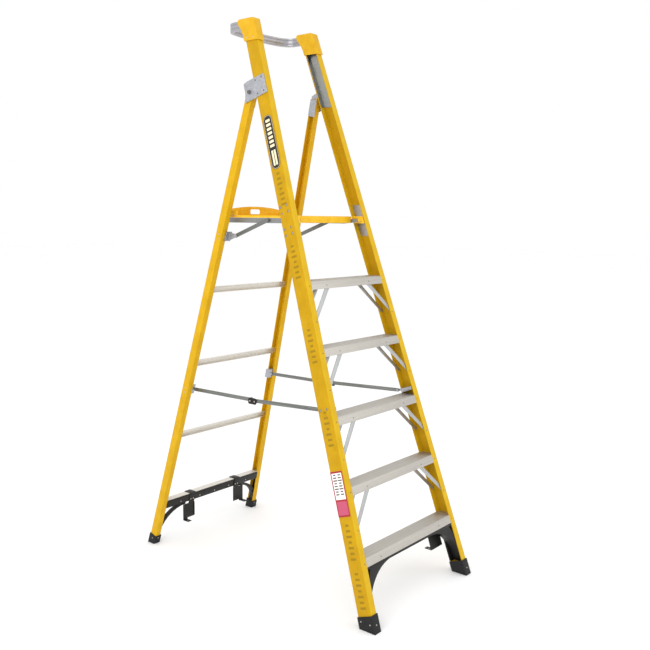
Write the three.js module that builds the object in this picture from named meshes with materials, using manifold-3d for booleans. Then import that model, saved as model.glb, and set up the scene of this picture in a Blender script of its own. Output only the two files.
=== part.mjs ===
// Fibreglass platform step ladder: two leaning front stiles with five treads, a folding rear frame,
// a platform that folds up on two struts, two folding spreaders and a guard rail.
// Millimetres, +Z up, X across the ladder, the climbing side faces -Y and the feet stand on z = 0.
import * as THREE from "three";
import { mergeVertices } from "three/addons/utils/BufferGeometryUtils.js";
import Module from "manifold-3d";

const wasm = await Module();
wasm.setup();

// ---------------------------------------------------------------- driving dimensions
const GAP = 0.4; // clearance between pieces that touch
const STEP_RISE = 290; // from one tread to the next
const TREADS = 5;
const FRONT = { half: 398.4, taper: 0.0664, lean: 0.3329, depth: 75.1, flange: 36.5, wall: 4, top: 2592 };
const REAR = { taper: 0.0607, lean: 0.2608, depth: 42.8, flange: 30.7, wall: 3.8, aboveHinge: 24 };
const HINGE = { belowTop: 285, setback: 39.8, sidePlay: 2, bolt: 6, head: 8.5, headThick: 4.5 };
const HINGE_PLATE = { front: 2, back: 134, down: 43, up: 48, thick: 3, corner: 3, spread: 11, raise: 3 };
const LINER = { wall: 2.2, belowHinge: 22 };
const CAP = { outer: 6.5, inner: 2, front: 7, belowTop: 49, aboveTop: 56, rearBulge: 28, edge: 4 };
const RAIL = { aboveTop: 8, height: 40, thick: 18, inset: 11.76, reach: 213.46, groove: 2.2 };
const TREAD = { height: 37, wall: 3, rib: 1.6, ribCount: 9 };
const BRACE = { width: 18, thick: 2.5, reach: 113, drop: 181, inset: 24, tuck: 20 };
const BOOT = { wall: 4, front: 46, rear: 42, floor: 6, groove: 1.8, pitch: 9 };
const PLATFORM = { top: 1740, front: 60.8, past: 80.6, half: 229.8, taper: 0.029, deck: 9, rib: 2.4 };
const NOSING = { depth: 38, height: 33, wall: 3 };
const SIDE_RAIL = { height: 24, width: 20, wall: 3, nose: 9 };
const PIVOT = { behindFront: 11.8, z: 1722, pin: 5.5, head: 9 };
const TOE = { thick: 5, rise: 44, end: 24, wing: 95, hole: 72, holeHeight: 24, holeAbove: 6 };
const MOUNT = { bottom: 1643, top: 1797, thick: 3, low: 1706, high: 1741, nose: 25, strutSpace: 9 };
const STRUT = { width: 19, thick: 4, z: 1640, ahead: 45.45, lower: 5, pin: 4.5, head: 6.5, headThick: 1.3 };
const STRUT_BRACKET = { thick: 3, low: 1614, high: 1660, clear: 0.7, lap: 10, box: 8, flute: 4 };
const BAR = { width: 18, thick: 3.5, frontZ: 884, rearZ: 856, behind: 7.3, sag: 8, inset: 5, between: 4, pin: 3.5 };
const LUG = { thick: 3.6, radius: 5.6 };
const BLOCK = { length: 52, above: 12, below: 17, thick: 4, lip: 2.4 };
const RUNG = { height: 31, depth: 20, wall: 2.5, tops: [1386, 1005, 618] };
const REAR_RAIL = { top: 242, height: 42, wall: 3 };
const STRIP = { thick: 3, frontHeight: 9.5, rearTop: 237 };
const KNEE = { liner: 3, lip: 2, foot: 6, above: 5, frontReach: 226, frontBand: 8, rearReach: 172, rearBand: 15 };
const HANGER = { thick: 3, strap: 38, width: 76, drop: 88, tab: 36, tabWidth: 25, hole: 5, edge: 5 };
const REAR_HANGER_X = 149;
const FRONT_HANGER = { x: 231, width: 100, bottom: 136 };

// ---------------------------------------------------------------- lines worked out from them
const frontX = (z) => FRONT.half - FRONT.taper * z; // outer face of a front stile
const frontY = (z) => FRONT.lean * z; // front face of a front stile
const hingeZ = FRONT.top - HINGE.belowTop;
const hinge = { y: frontY(hingeZ) + FRONT.depth + HINGE.setback, z: hingeZ };
const linerBottom = hingeZ - LINER.belowHinge;
const capBottom = FRONT.top - CAP.belowTop;
const capTop = FRONT.top + CAP.aboveTop;
const railBottom = FRONT.top + RAIL.aboveTop;
const armX = frontX(railBottom) - RAIL.inset; // middle of a guard rail arm
const railBack = frontY(railBottom) + RAIL.reach;
const rearHalf = frontX(hingeZ) - HINGE.sidePlay + REAR.taper * hingeZ;
const rearX = (z) => rearHalf - REAR.taper * z; // outer face of a rear leg
const rearY = (z) => hinge.y - REAR.depth / 2 + REAR.lean * (hingeZ - z); // front face of a rear leg
const leanAngle = Math.atan(FRONT.lean);
const foldAngle = leanAngle + Math.atan(REAR.lean);
const stileUp = { y: Math.sin(leanAngle), z: Math.cos(leanAngle) };
const footBack = rearY(0) + REAR.depth + BOOT.wall;
const footFront = -BOOT.wall;
const platformFront = frontY(PLATFORM.top) + PLATFORM.front;
const platformBack = rearY(PLATFORM.top) + PLATFORM.past;
const barLine = FRONT.depth + BAR.behind; // distance of a folded bar behind the stiles' front faces
const CENTRE_Y = (footBack + footFront) / 2;

/** A point of the rear frame after the frame has folded against the front one. */
function folded(point) {
  const y = point.y - hinge.y;
  const z = point.z - hinge.z;
  const c = Math.cos(foldAngle);
  const s = Math.sin(foldAngle);
  return { y: hinge.y + y * c + z * s, z: hinge.z - y * s + z * c };
}

// The spreader bars lie on one line behind the stiles when the ladder is folded.
const legLine = (hinge.y - frontY(hingeZ)) * Math.cos(leanAngle) - (REAR.depth / 2) * Math.cos(Math.atan(REAR.lean));
const barFront = { y: frontY(BAR.frontZ) + barLine / Math.cos(leanAngle), z: BAR.frontZ };
const barRear = { y: rearY(BAR.rearZ) - (legLine - barLine) / Math.cos(Math.atan(REAR.lean)), z: BAR.rearZ };
const barJoint = spreaderJoint();

/** Middle joint of an open spreader, placed so that both bars fold flat along the stile. */
function spreaderJoint() {
  const closed = folded(barRear);
  const apart = (closed.y - barFront.y) * stileUp.y + (closed.z - barFront.z) * stileUp.z;
  const span = Math.hypot(barRear.y - barFront.y, barRear.z - barFront.z);
  const frontLength = (span + (2 * BAR.sag ** 2) / span + apart) / 2;
  const along = Math.sqrt(frontLength ** 2 - BAR.sag ** 2);
  const ey = (barRear.y - barFront.y) / span;
  const ez = (barRear.z - barFront.z) / span;
  return { y: barFront.y + ey * along + ez * BAR.sag, z: barFront.z + ez * along - ey * BAR.sag };
}

// The platform turns about its pivot, and each strut keeps its length between the open and folded places.
const pivot = { y: frontY(PIVOT.z) + PIVOT.behindFront, z: PIVOT.z };
const strutRear = { y: rearY(STRUT.z) - STRUT.ahead, z: STRUT.z };
const strutFront = strutSeat();

/** Where a strut meets the platform, so that the platform folds flat along the stiles. */
function strutSeat() {
  const turn = Math.PI / 2 - leanAngle;
  const open = { y: strutRear.y - pivot.y, z: strutRear.z - pivot.z };
  const shut = folded(strutRear);
  const away = { y: shut.y - pivot.y, z: shut.z - pivot.z };
  const back = {
    y: away.y * Math.cos(turn) + away.z * Math.sin(turn),
    z: -away.y * Math.sin(turn) + away.z * Math.cos(turn),
  };
  const square = (open.y ** 2 + open.z ** 2 - away.y ** 2 - away.z ** 2) / 2;
  const seat = (square + STRUT.lower * (open.z - back.z)) / (open.y - back.y);
  return { y: pivot.y + seat, z: pivot.z - STRUT.lower };
}

const platformX = (y) => PLATFORM.half - PLATFORM.taper * (y - pivot.y); // outer face of the platform
const strutX = PLATFORM.half + 0.7; // inner face of a strut
const barX = frontX(BAR.frontZ) - FRONT.flange - BAR.inset - LUG.thick; // outer face of a front bar, before its gap

// ---------------------------------------------------------------- finishes
const paint = (color, roughness, metalness) => new THREE.MeshStandardMaterial({ color, roughness, metalness });
const FIBREGLASS = paint("#e3a90c", 0.38, 0);
const YELLOW_PLASTIC = paint("#f0b41d", 0.42, 0);
const ALUMINIUM = paint("#c6c5c1", 0.36, 0.9);
const DARK_ALUMINIUM = paint("#8f8f8c", 0.4, 0.9);
const BLACK_STEEL = paint("#2b2b2c", 0.5, 0.2);
const BLACK_PLASTIC = paint("#222224", 0.6, 0);
const ZINC = paint("#a9abae", 0.32, 1);

// ---------------------------------------------------------------- solids
/** A closed three.js geometry as a manifold solid. */
function solid(geometry) {
  const bare = geometry.index ? geometry.toNonIndexed() : geometry.clone();
  bare.deleteAttribute("normal");
  bare.deleteAttribute("uv");
  const merged = mergeVertices(bare, 1e-4);
  const vertProperties = new Float32Array(merged.attributes.position.array);
  const triVerts = new Uint32Array(merged.index.array);
  return new wasm.Manifold(new wasm.Mesh({ numProp: 3, vertProperties, triVerts }));
}

/** A manifold solid as a three.js geometry. */
function surface(body) {
  const mesh = body.getMesh();
  const count = mesh.vertProperties.length / mesh.numProp;
  const places = new Float32Array(count * 3);
  for (let i = 0; i < count; i += 1) {
    for (let k = 0; k < 3; k += 1) places[3 * i + k] = mesh.vertProperties[mesh.numProp * i + k];
  }
  const geometry = new THREE.BufferGeometry();
  geometry.setAttribute("position", new THREE.BufferAttribute(places, 3));
  geometry.setIndex([...mesh.triVerts]);
  return geometry;
}

/** The same geometry on the other side of the ladder. */
function mirrored(geometry) {
  const copy = geometry.clone();
  copy.scale(-1, 1, 1);
  const order = copy.index.array;
  for (let i = 0; i < order.length; i += 3) [order[i], order[i + 1]] = [order[i + 1], order[i]];
  return copy;
}

const joined = (bodies) => bodies.reduce((whole, body) => whole.add(body));

/** A block between two corners. */
function block(x0, x1, y0, y1, z0, z1) {
  const geometry = new THREE.BoxGeometry(x1 - x0, y1 - y0, z1 - z0);
  geometry.translate((x0 + x1) / 2, (y0 + y1) / 2, (z0 + z1) / 2);
  return solid(geometry);
}

/** A closed shape from corner points. */
function outline(points) {
  return new THREE.Shape(points.map(([u, v]) => new THREE.Vector2(u, v)));
}

/** A straight bar of a shape drawn in Y and Z, from x0 to x1. */
function acrossX(shape, x0, x1) {
  const geometry = new THREE.ExtrudeGeometry(shape, { depth: x1 - x0, bevelEnabled: false, curveSegments: 10 });
  geometry.applyMatrix4(new THREE.Matrix4().set(0, 0, 1, x0, 1, 0, 0, 0, 0, 1, 0, 0, 0, 0, 0, 1));
  return solid(geometry);
}

/** A plate of a shape drawn in X and Z, from y0 to y1. */
function acrossY(shape, y0, y1) {
  const geometry = new THREE.ExtrudeGeometry(shape, { depth: y1 - y0, bevelEnabled: false, curveSegments: 16 });
  geometry.applyMatrix4(new THREE.Matrix4().set(1, 0, 0, 0, 0, 0, -1, y1, 0, 1, 0, 0, 0, 0, 0, 1));
  return solid(geometry);
}

/** A plate of a shape drawn in X and Y, from z0 to z1. */
function upZ(shape, z0, z1) {
  const geometry = new THREE.ExtrudeGeometry(shape, { depth: z1 - z0, bevelEnabled: false, curveSegments: 12 });
  geometry.translate(0, 0, z0);
  return solid(geometry);
}

/** A round pin along X. */
function pin(y, z, radius, x0, x1) {
  const geometry = new THREE.CylinderGeometry(radius, radius, x1 - x0, 20);
  geometry.rotateZ(-Math.PI / 2);
  geometry.translate((x0 + x1) / 2, y, z);
  return solid(geometry);
}

/** A shape drawn in Y and Z round two points, with a round end at each. */
function linkShape(from, to, radius) {
  const angle = Math.atan2(to.z - from.z, to.y - from.y);
  const shape = new THREE.Shape();
  shape.absarc(to.y, to.z, radius, angle - Math.PI / 2, angle + Math.PI / 2, false);
  shape.absarc(from.y, from.z, radius, angle + Math.PI / 2, angle + (3 * Math.PI) / 2, false);
  shape.closePath();
  return shape;
}

/** Moves a solid by a matrix that keeps it right way round. */
function moved(body, matrix) {
  const geometry = surface(body);
  geometry.applyMatrix4(matrix);
  return solid(geometry);
}

// Each frame below takes a solid drawn beside an upright post and leans it as the real one leans.
// x is measured from the post's outer face (negative is inboard) and y from its front face.
const frontPost = new THREE.Matrix4().set(
  1, 0, -FRONT.taper, FRONT.half, 0, 1, FRONT.lean, 0, 0, 0, 1, 0, 0, 0, 0, 1);
const rearPost = new THREE.Matrix4().set(
  1, 0, -REAR.taper, rearHalf, 0, 1, -REAR.lean, rearY(0), 0, 0, 1, 0, 0, 0, 0, 1);
// Follows the front stile's outer face in x only, for pieces drawn at their real y and z.
const frontSide = new THREE.Matrix4().set(
  1, 0, -FRONT.taper, FRONT.half, 0, 1, 0, 0, 0, 0, 1, 0, 0, 0, 0, 1);
const rearSide = new THREE.Matrix4().set(
  1, 0, -REAR.taper, rearHalf, 0, 1, 0, 0, 0, 0, 1, 0, 0, 0, 0, 1);

/** A C-channel beside an upright post: the web outside, the two flanges pointing in. */
function channel(post, wall, inset, z0, z1) {
  const d = post.depth;
  const shape = outline([
    [-inset, inset], [-inset, d - inset], [-post.flange, d - inset], [-post.flange, d - inset - wall],
    [-inset - wall, d - inset - wall], [-inset - wall, inset + wall], [-post.flange, inset + wall],
    [-post.flange, inset],
  ]);
  return upZ(shape, z0, z1);
}

/** The space between the two front stiles, or their channels, less an inset from the outer faces. */
function betweenStiles(inset, z0, z1) {
  const shape = outline([
    [-(frontX(z0) - inset), z0], [frontX(z0) - inset, z0], [frontX(z1) - inset, z1], [-(frontX(z1) - inset), z1],
  ]);
  return acrossY(shape, -200, 1800);
}

/** The space between the two rear legs, less an inset from their outer faces. */
function betweenLegs(inset, z0, z1) {
  const shape = outline([
    [-(rearX(z0) - inset), z0], [rearX(z0) - inset, z0], [rearX(z1) - inset, z1], [-(rearX(z1) - inset), z1],
  ]);
  return acrossY(shape, 600, 1800);
}

// ---------------------------------------------------------------- front section
function frontStile() {
  return moved(channel(FRONT, FRONT.wall, 0, BOOT.floor + GAP, FRONT.top), frontPost);
}

function stileLiner() {
  const flange = { depth: FRONT.depth, flange: FRONT.flange - 3 };
  return moved(channel(flange, LINER.wall, FRONT.wall + GAP, linerBottom, FRONT.top), frontPost);
}

/** Boot beside an upright post, its top edge square to the leaning post. */
function boot(post, low, lean) {
  const w = BOOT.wall;
  const deep = post.depth + 2 * w;
  const front = low + Math.max(0, lean * deep);
  const rear = low + Math.max(0, -lean * deep);
  const side = outline([[-w, 0], [post.depth + w, 0], [post.depth + w, rear], [-w, front]]);
  const outer = acrossX(side, -post.flange - w, w);
  const pocket = block(-post.flange - GAP, GAP, -GAP, post.depth + GAP, BOOT.floor, front + rear);
  return outer.subtract(pocket).subtract(bootGrooves(post));
}

/** Shallow grooves across the sole of a boot. */
function bootGrooves(post) {
  const count = Math.floor(post.depth / BOOT.pitch);
  const grooves = [];
  for (let i = 0; i < count; i += 1) {
    const y = (i + 0.6) * BOOT.pitch;
    grooves.push(block(-post.flange - 9, 9, y, y + 3, -1, BOOT.groove));
  }
  return joined(grooves);
}

/** Top cap: a rounded cover that hides the stile's end and the root of the guard rail. */
function topCap() {
  const b = FRONT.depth;
  const lean = FRONT.lean;
  const at = (depth, z) => [depth + lean * z, z];
  const shape = new THREE.Shape();
  const rearTop = b + CAP.rearBulge;
  const f = CAP.front;
  const points = [
    at(-f, capBottom), at(-f, capTop - 9), at(3 - f, capTop - 2.5), at(9 - f, capTop),
    at(rearTop - 18, capTop), at(rearTop - 7, capTop - 3), at(rearTop - 1, capTop - 11),
    at(rearTop, capTop - 24), at(b + 15, capTop - 52), at(b + 9, capTop - 74), at(b + 8, capBottom),
  ];
  shape.setFromPoints(points.map(([y, z]) => new THREE.Vector2(y, z)));
  const side = CAP.edge;
  const wide = FRONT.flange + CAP.outer + CAP.inner;
  const geometry = new THREE.ExtrudeGeometry(shape, {
    depth: wide - 2 * side, bevelEnabled: true, bevelThickness: side, bevelSize: side, bevelOffset: -side,
    bevelSegments: 3, curveSegments: 6,
  });
  geometry.applyMatrix4(new THREE.Matrix4().set(
    0, 0, 1, side - FRONT.flange - CAP.inner, 1, 0, 0, 0, 0, 1, 0, 0, 0, 0, 0, 1));
  const cover = moved(solid(geometry), frontSide);
  const socket = block(-FRONT.flange - GAP, GAP, -GAP, b + GAP, capBottom - 40, FRONT.top + GAP);
  return cover.subtract(moved(socket, frontPost)).subtract(railArmSpace());
}

/** The slot in a cap that the end of the guard rail slides into. */
function railArmSpace() {
  const half = RAIL.thick / 2 + GAP;
  const front = frontY(railBottom) + 8 - GAP;
  const low = Math.min(railBottom, FRONT.top) - GAP;
  return block(armX - half, armX + half, front, railBack + 100, low, railBottom + RAIL.height + GAP);
}

/** The line that the middle of the guard rail follows, seen from above. */
function railLine() {
  const x = armX;
  const straight = railBack - 78;
  const shoulder = { x: x - 74, y: railBack - 9.5 };
  const path = new THREE.CurvePath();
  const v = (px, py) => new THREE.Vector2(px, py);
  path.add(new THREE.LineCurve(v(-x, frontY(railBottom) + 8), v(-x, straight)));
  path.add(new THREE.CubicBezierCurve(
    v(-x, straight), v(-x, straight + 44), v(-shoulder.x - 46, shoulder.y - 8), v(-shoulder.x, shoulder.y)));
  path.add(new THREE.CubicBezierCurve(
    v(-shoulder.x, shoulder.y), v(-shoulder.x + 70, railBack + 3), v(shoulder.x - 70, railBack + 3),
    v(shoulder.x, shoulder.y)));
  path.add(new THREE.CubicBezierCurve(
    v(shoulder.x, shoulder.y), v(shoulder.x + 46, shoulder.y - 8), v(x, straight + 44), v(x, straight)));
  path.add(new THREE.LineCurve(v(x, straight), v(x, frontY(railBottom) + 8)));
  return path;
}

/** A flat band of a given thickness along the guard rail's line. */
function railBand(thick) {
  const path = railLine();
  const stations = [];
  for (const curve of path.curves) {
    const steps = curve.isLineCurve ? 1 : 9;
    for (let i = stations.length ? 1 : 0; i <= steps; i += 1) {
      const tangent = curve.getTangent(i / steps);
      const point = curve.getPoint(i / steps);
      stations.push({ point, normal: new THREE.Vector2(-tangent.y, tangent.x) });
    }
  }
  const offset = (side) => stations.map(({ point, normal }) => point.clone().addScaledVector(normal, side));
  return new THREE.Shape([...offset(-thick / 2), ...offset(thick / 2).reverse()]);
}

/** Guard rail: an extrusion with two long grooves, bent to a U above the platform. */
function guardRail() {
  const z = railBottom;
  const lips = [[0, 9], [13, 27], [31, RAIL.height]];
  const bands = lips.map(([low, high]) => upZ(railBand(RAIL.thick), z + low, z + high));
  return joined([...bands, upZ(railBand(RAIL.thick - 2 * RAIL.groove), z, z + RAIL.height)]);
}

/** Tread: a channel open below, with ribs along its top and a tongue into each stile. */
function tread(top) {
  const { height, wall, rib, ribCount } = TREAD;
  const depth = FRONT.depth;
  const low = top - height;
  const skin = top - rib;
  const at = (b, z) => [b + frontY(z), z];
  const points = [at(0, low), at(wall, low), at(wall, skin - wall), at(depth - wall, skin - wall),
    at(depth - wall, low), at(depth, low), at(depth, skin)];
  const pitch = depth / ribCount;
  for (let i = ribCount - 1; i >= 0; i -= 1) {
    const start = i * pitch + 1.4;
    const end = (i + 1) * pitch - 1.4;
    points.push(at(end, skin), at(end - 0.6, top), at(start + 0.6, top), at(start, skin));
  }
  points.push(at(0, skin));
  const reach = frontX(low);
  const bar = acrossX(outline(points), -reach, reach);
  const between = betweenStiles(FRONT.flange + GAP, low - 5, top + 5);
  return joined([bar.intersect(between), treadTongue(skin)]);
}

/** The plate of a tread that reaches into both stiles. */
function treadTongue(skin) {
  const inside = FRONT.wall + GAP;
  const at = (b, z) => [b + frontY(z), z];
  const low = skin - TREAD.wall;
  const plate = outline([
    at(inside, low), at(FRONT.depth - inside, low), at(FRONT.depth - inside, skin), at(inside, skin)]);
  const reach = frontX(low);
  return acrossX(plate, -reach, reach).intersect(betweenStiles(inside, low - 5, skin + 5));
}

/** Tread brace: two flat diagonals, one behind each flange, joined by a plate under the tread. */
function treadBrace(top) {
  const { width, thick, reach, drop, inset, tuck } = BRACE;
  const upperX = frontX(top) - FRONT.flange - reach;
  const upperZ = top - TREAD.height + 4;
  const lowerZ = top - drop;
  const lowerX = frontX(lowerZ) - FRONT.flange + inset;
  const tilt = Math.atan2(lowerZ - upperZ, lowerX - upperX);
  const nx = (Math.sin(tilt) * width) / 2;
  const nz = (Math.cos(tilt) * width) / 2;
  const end = width / 3;
  const shape = outline([
    [upperX + nx, upperZ - nz], [lowerX + nx, lowerZ - nz], [lowerX + end, lowerZ],
    [lowerX - nx, lowerZ + nz], [upperX - nx + end, upperZ + nz], [upperX + end, upperZ + tuck],
    [upperX - width, upperZ + tuck], [upperX - width, upperZ - 4]]);
  const inside = FRONT.wall + GAP;
  const flat = (b0, b1) => {
    const plate = acrossY(shape, b0, b1);
    return moved(plate, new THREE.Matrix4().set(1, 0, 0, 0, 0, 1, FRONT.lean, 0, 0, 0, 1, 0, 0, 0, 0, 1));
  };
  const rear = FRONT.depth - inside;
  const link = moved(
    block(upperX - width, upperX + end, inside, rear, upperZ + tuck - thick, upperZ + tuck),
    new THREE.Matrix4().set(1, 0, 0, 0, 0, 1, FRONT.lean, 0, 0, 0, 1, 0, 0, 0, 0, 1));
  return joined([flat(inside, inside + thick), flat(rear - thick, rear), link]);
}

/** Outline of a knee beside an upright post: it fills the corner outside a quarter of an ellipse. */
function kneeOutline(post, reach, foot, low, high, drop) {
  const edge = -post.wall - GAP;
  const shape = new THREE.Shape();
  shape.moveTo(edge, low);
  shape.lineTo(-foot, low);
  shape.absellipse(-reach, low, reach - foot, high - drop - low, 0, Math.PI / 2, false, 0);
  shape.lineTo(-reach, high);
  shape.lineTo(edge, high);
  shape.closePath();
  return shape;
}

/** Liner inside an upright post's channel: on the web, on the rear flange and round that flange's edge. */
function kneeLiner(post, low, high) {
  const { liner, lip } = KNEE;
  const inside = post.wall + GAP;
  const back = post.depth - inside;
  const edge = -post.flange - GAP;
  return joined([
    block(-inside - liner, -inside, inside, back, low, high),
    block(edge - lip, -inside - 1, back - liner, back, low, high),
    block(edge - lip, edge, back - liner, post.depth, low, high),
  ]);
}

/** Front foot brace: a black pan under the bottom tread that ends in a knee at each stile. */
function frontFootBrace() {
  const high = STEP_RISE - TREAD.height - GAP;
  const inside = FRONT.wall + GAP;
  const low = BOOT.front + KNEE.above;
  const rim = -FRONT.flange - GAP;
  const corner = kneeOutline(
    FRONT, KNEE.frontReach, inside + KNEE.liner + 1, low, high, STRIP.thick + KNEE.frontBand);
  const slit = outline([
    [rim - 4, high - STRIP.frontHeight - 3], [rim - 20, high - STRIP.frontHeight - 3],
    [rim - 4, high - STRIP.frontHeight - 38]]);
  const gusset = acrossY(corner, inside, FRONT.depth - inside).subtract(acrossY(slit, -5, FRONT.depth + 5));
  const right = moved(joined([gusset, kneeLiner(FRONT, low, high)]), frontPost);
  const left = solid(mirrored(surface(right)));
  const reach = frontX(high) - KNEE.frontReach + 6;
  const at = (b, z) => [b + frontY(z), z];
  const pan = outline([
    at(0.5, high - STRIP.frontHeight), at(0.5 + STRIP.thick, high - STRIP.frontHeight),
    at(0.5 + STRIP.thick, high - STRIP.thick), at(FRONT.depth - inside, high - STRIP.thick),
    at(FRONT.depth - inside, high), at(0.5, high)]);
  const strip = outline([
    at(0.5, high - STRIP.frontHeight), at(inside + 1, high - STRIP.frontHeight), at(inside + 1, high),
    at(0.5, high)]);
  const wide = betweenStiles(FRONT.flange + GAP, high - 30, high + 10);
  const edge = acrossX(strip, -frontX(high), frontX(high)).intersect(wide);
  return joined([right, left, acrossX(pan, -reach, reach), edge]);
}

/** Hinge plate riveted on a front stile, reaching back over the rear leg. */
function hingePlate() {
  const { front, back, down, up, thick, corner, spread, raise } = HINGE_PLATE;
  const across = { y: Math.cos(leanAngle), z: -Math.sin(leanAngle) };
  const line = (hinge.y - frontY(hinge.z)) * Math.cos(leanAngle);
  const at = (t, s) => [
    hinge.y + (t - line) * across.y + s * stileUp.y, hinge.z + (t - line) * across.z + s * stileUp.z];
  const c = corner;
  const shape = outline([
    at(front, -down), at(back + spread - c, raise - down), at(back + spread, c + raise - down), at(back, c),
    at(back, up - c), at(back - c, up + 2), at(back - 8 * c, up + 5), at(front, up)]);
  const plate = moved(acrossX(shape, GAP, GAP + thick), frontSide);
  return plate.subtract(pin(hinge.y, hinge.z, HINGE.bolt + GAP, frontX(hinge.z) - 60, frontX(hinge.z) + 60));
}

/** Hinge bolt with a head outside the plate and a nut inside the rear leg. */
function hingeBolt() {
  const outside = frontX(hinge.z + HINGE.head) + 2 * GAP + HINGE_PLATE.thick + 2;
  const inside = rearX(hinge.z) - REAR.wall - 6;
  const shank = pin(hinge.y, hinge.z, HINGE.bolt, inside - HINGE.headThick, outside + 1);
  const head = pin(hinge.y, hinge.z, HINGE.head, outside, outside + HINGE.headThick);
  const nut = pin(hinge.y, hinge.z, HINGE.head - 1, inside - HINGE.headThick, inside);
  return joined([shank, head, nut]);
}

/** Platform mount: a plate on the inside of the stile, with the bracket and pin that carry the platform. */
function platformMount() {
  const inside = FRONT.wall + GAP;
  const plate = block(-inside - MOUNT.thick, -inside, inside + 1, FRONT.depth - inside - 1, MOUNT.bottom, MOUNT.top);
  const inner = PLATFORM.half + 1 - frontX(PIVOT.z);
  const body = block(inner, -inside - 1, inside + 1, FRONT.depth - inside - 1, MOUNT.low, MOUNT.high);
  const step = MOUNT.strutSpace;
  const aside = block(inner - 1, inner + step, MOUNT.nose, FRONT.depth, MOUNT.low - 1, MOUNT.high + 1);
  const pocket = block(
    inner + step + 3, -inside - MOUNT.thick - 3, MOUNT.nose, FRONT.depth, MOUNT.low + 5, MOUNT.high - 5);
  const bracket = moved(joined([plate, body.subtract(aside).subtract(pocket)]), frontPost);
  const web = platformX(pivot.y) - SIDE_RAIL.wall;
  const shank = pin(pivot.y, pivot.z, PIVOT.pin, web - 5, PLATFORM.half + 4);
  const head = pin(pivot.y, pivot.z, PIVOT.head, web - 5, web - 1);
  return joined([bracket, shank, head]);
}

/** Front spreader bracket: a tray inside the stile with a lug behind it. */
function frontBarBracket() {
  const inside = FRONT.wall + GAP;
  const rise = (b, z) => [b + frontY(z), z];
  const z = BAR.frontZ;
  const side = -FRONT.flange - BAR.inset;
  const tray = outline([
    rise(inside + 1, z + 12), rise(inside + 1, z + 27), rise(FRONT.depth - inside - 1, z + 8),
    rise(FRONT.depth - inside - 1, z - 12)]);
  const base = acrossX(tray, side - LUG.thick, -inside);
  const pocket = acrossX(outline([
    rise(inside + 5, z + 15), rise(inside + 5, z + 40), rise(FRONT.depth - inside - 5, z + 40),
    rise(FRONT.depth - inside - 5, z - 6)]), side, -inside - 3);
  const start = { y: frontY(z + 8) + 55, z: z + 4 };
  const lug = acrossX(linkShape(start, barFront, LUG.radius), side - LUG.thick, side);
  const bracket = moved(joined([base.subtract(pocket), lug]), frontSide);
  const headX = frontBarOuter - BAR.thick - 1;
  const shank = pin(barFront.y, barFront.z, BAR.pin, headX - 1, barX + 2);
  const head = pin(barFront.y, barFront.z, BAR.pin + 2.5, headX - 2, headX);
  return joined([bracket, shank, head]);
}

// ---------------------------------------------------------------- spreader bars
const frontBarOuter = barX - GAP - 0.3;
const rearBarOuter = frontBarOuter - BAR.thick - BAR.between;

/** One flat bar between two pivots, parallel to a post's outer face. */
function spreaderBar(from, to, outer, slope, bore) {
  const link = linkShape(from, to, BAR.width / 2);
  const plate = acrossX(link, outer - BAR.thick, outer);
  const tilt = new THREE.Matrix4().set(1, 0, -slope, slope * bore.z, 0, 1, 0, 0, 0, 0, 1, 0, 0, 0, 0, 1);
  return moved(plate, tilt).subtract(pin(bore.y, bore.z, BAR.pin + 0.7, outer - 20, outer + 20));
}

const frontBar = () => spreaderBar(barFront, barJoint, frontBarOuter, FRONT.taper, barFront);
const rearBar = () => spreaderBar(barRear, barJoint, rearBarOuter, REAR.taper, barRear);

/** Joint block on the end of a front bar, with a lip that stops the joint just past straight. */
function jointBlock() {
  const { length, above, below, thick, lip } = BLOCK;
  const x0 = frontBarOuter + GAP;
  const y0 = barJoint.y - length / 2;
  const y1 = barJoint.y + length / 2;
  const z0 = barJoint.z - below;
  const z1 = barJoint.z + above;
  const c = 5;
  const face = outline([
    [y0 + c, z0], [y1 - c, z0], [y1, z0 + c], [y1, z1 - c], [y1 - c, z1], [y0 + c, z1], [y0, z1 - c], [y0, z0 + c]]);
  const plate = acrossX(face, x0, x0 + thick);
  const shelf = block(rearBarOuter - BAR.thick, x0 + 1, barJoint.y + 12, y1 - c, z1 - lip, z1);
  const tilt = new THREE.Matrix4().set(
    1, 0, -FRONT.taper, FRONT.taper * barFront.z, 0, 1, 0, 0, 0, 0, 1, 0, 0, 0, 0, 1);
  return moved(joined([plate, shelf]), tilt);
}

// ---------------------------------------------------------------- rear section
function rearLeg() {
  const post = channel(REAR, REAR.wall, 0, BOOT.floor + GAP, hingeZ + REAR.aboveHinge);
  return moved(post, rearPost).subtract(pin(hinge.y, hinge.z, HINGE.bolt + GAP, frontX(hinge.z) - 60, frontX(hinge.z) + 60));
}

/** A flat channel between the rear legs, open to the front, with a tongue into each leg. */
function rearRung(top, height, depth, wall) {
  const low = top - height;
  const back = (z) => rearY(z) + REAR.depth;
  const at = (b, z) => [back(z) - b, z];
  const shape = outline([
    at(0, low), at(0, top), at(depth, top), at(depth, top - wall), at(wall, top - wall), at(wall, low + wall),
    at(depth, low + wall), at(depth, low)]);
  const reach = rearX(low);
  const bar = acrossX(shape, -reach, reach).intersect(betweenLegs(REAR.flange + GAP, low - 5, top + 5));
  const inside = REAR.wall + GAP;
  const tongue = outline([at(inside, low + 2), at(inside, top - 2), at(inside + wall, top - 2), at(inside + wall, low + 2)]);
  const plate = acrossX(tongue, -reach, reach).intersect(betweenLegs(inside, low - 5, top + 5));
  const seam = outline([at(wall - 0.5, top - 8), at(wall - 0.5, top - 2.2), at(inside + 1, top - 2.2), at(inside + 1, top - 8)]);
  const bridge = acrossX(seam, -reach, reach).intersect(betweenLegs(REAR.flange + GAP, low - 5, top + 5));
  return joined([bar, plate, bridge]);
}

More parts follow.
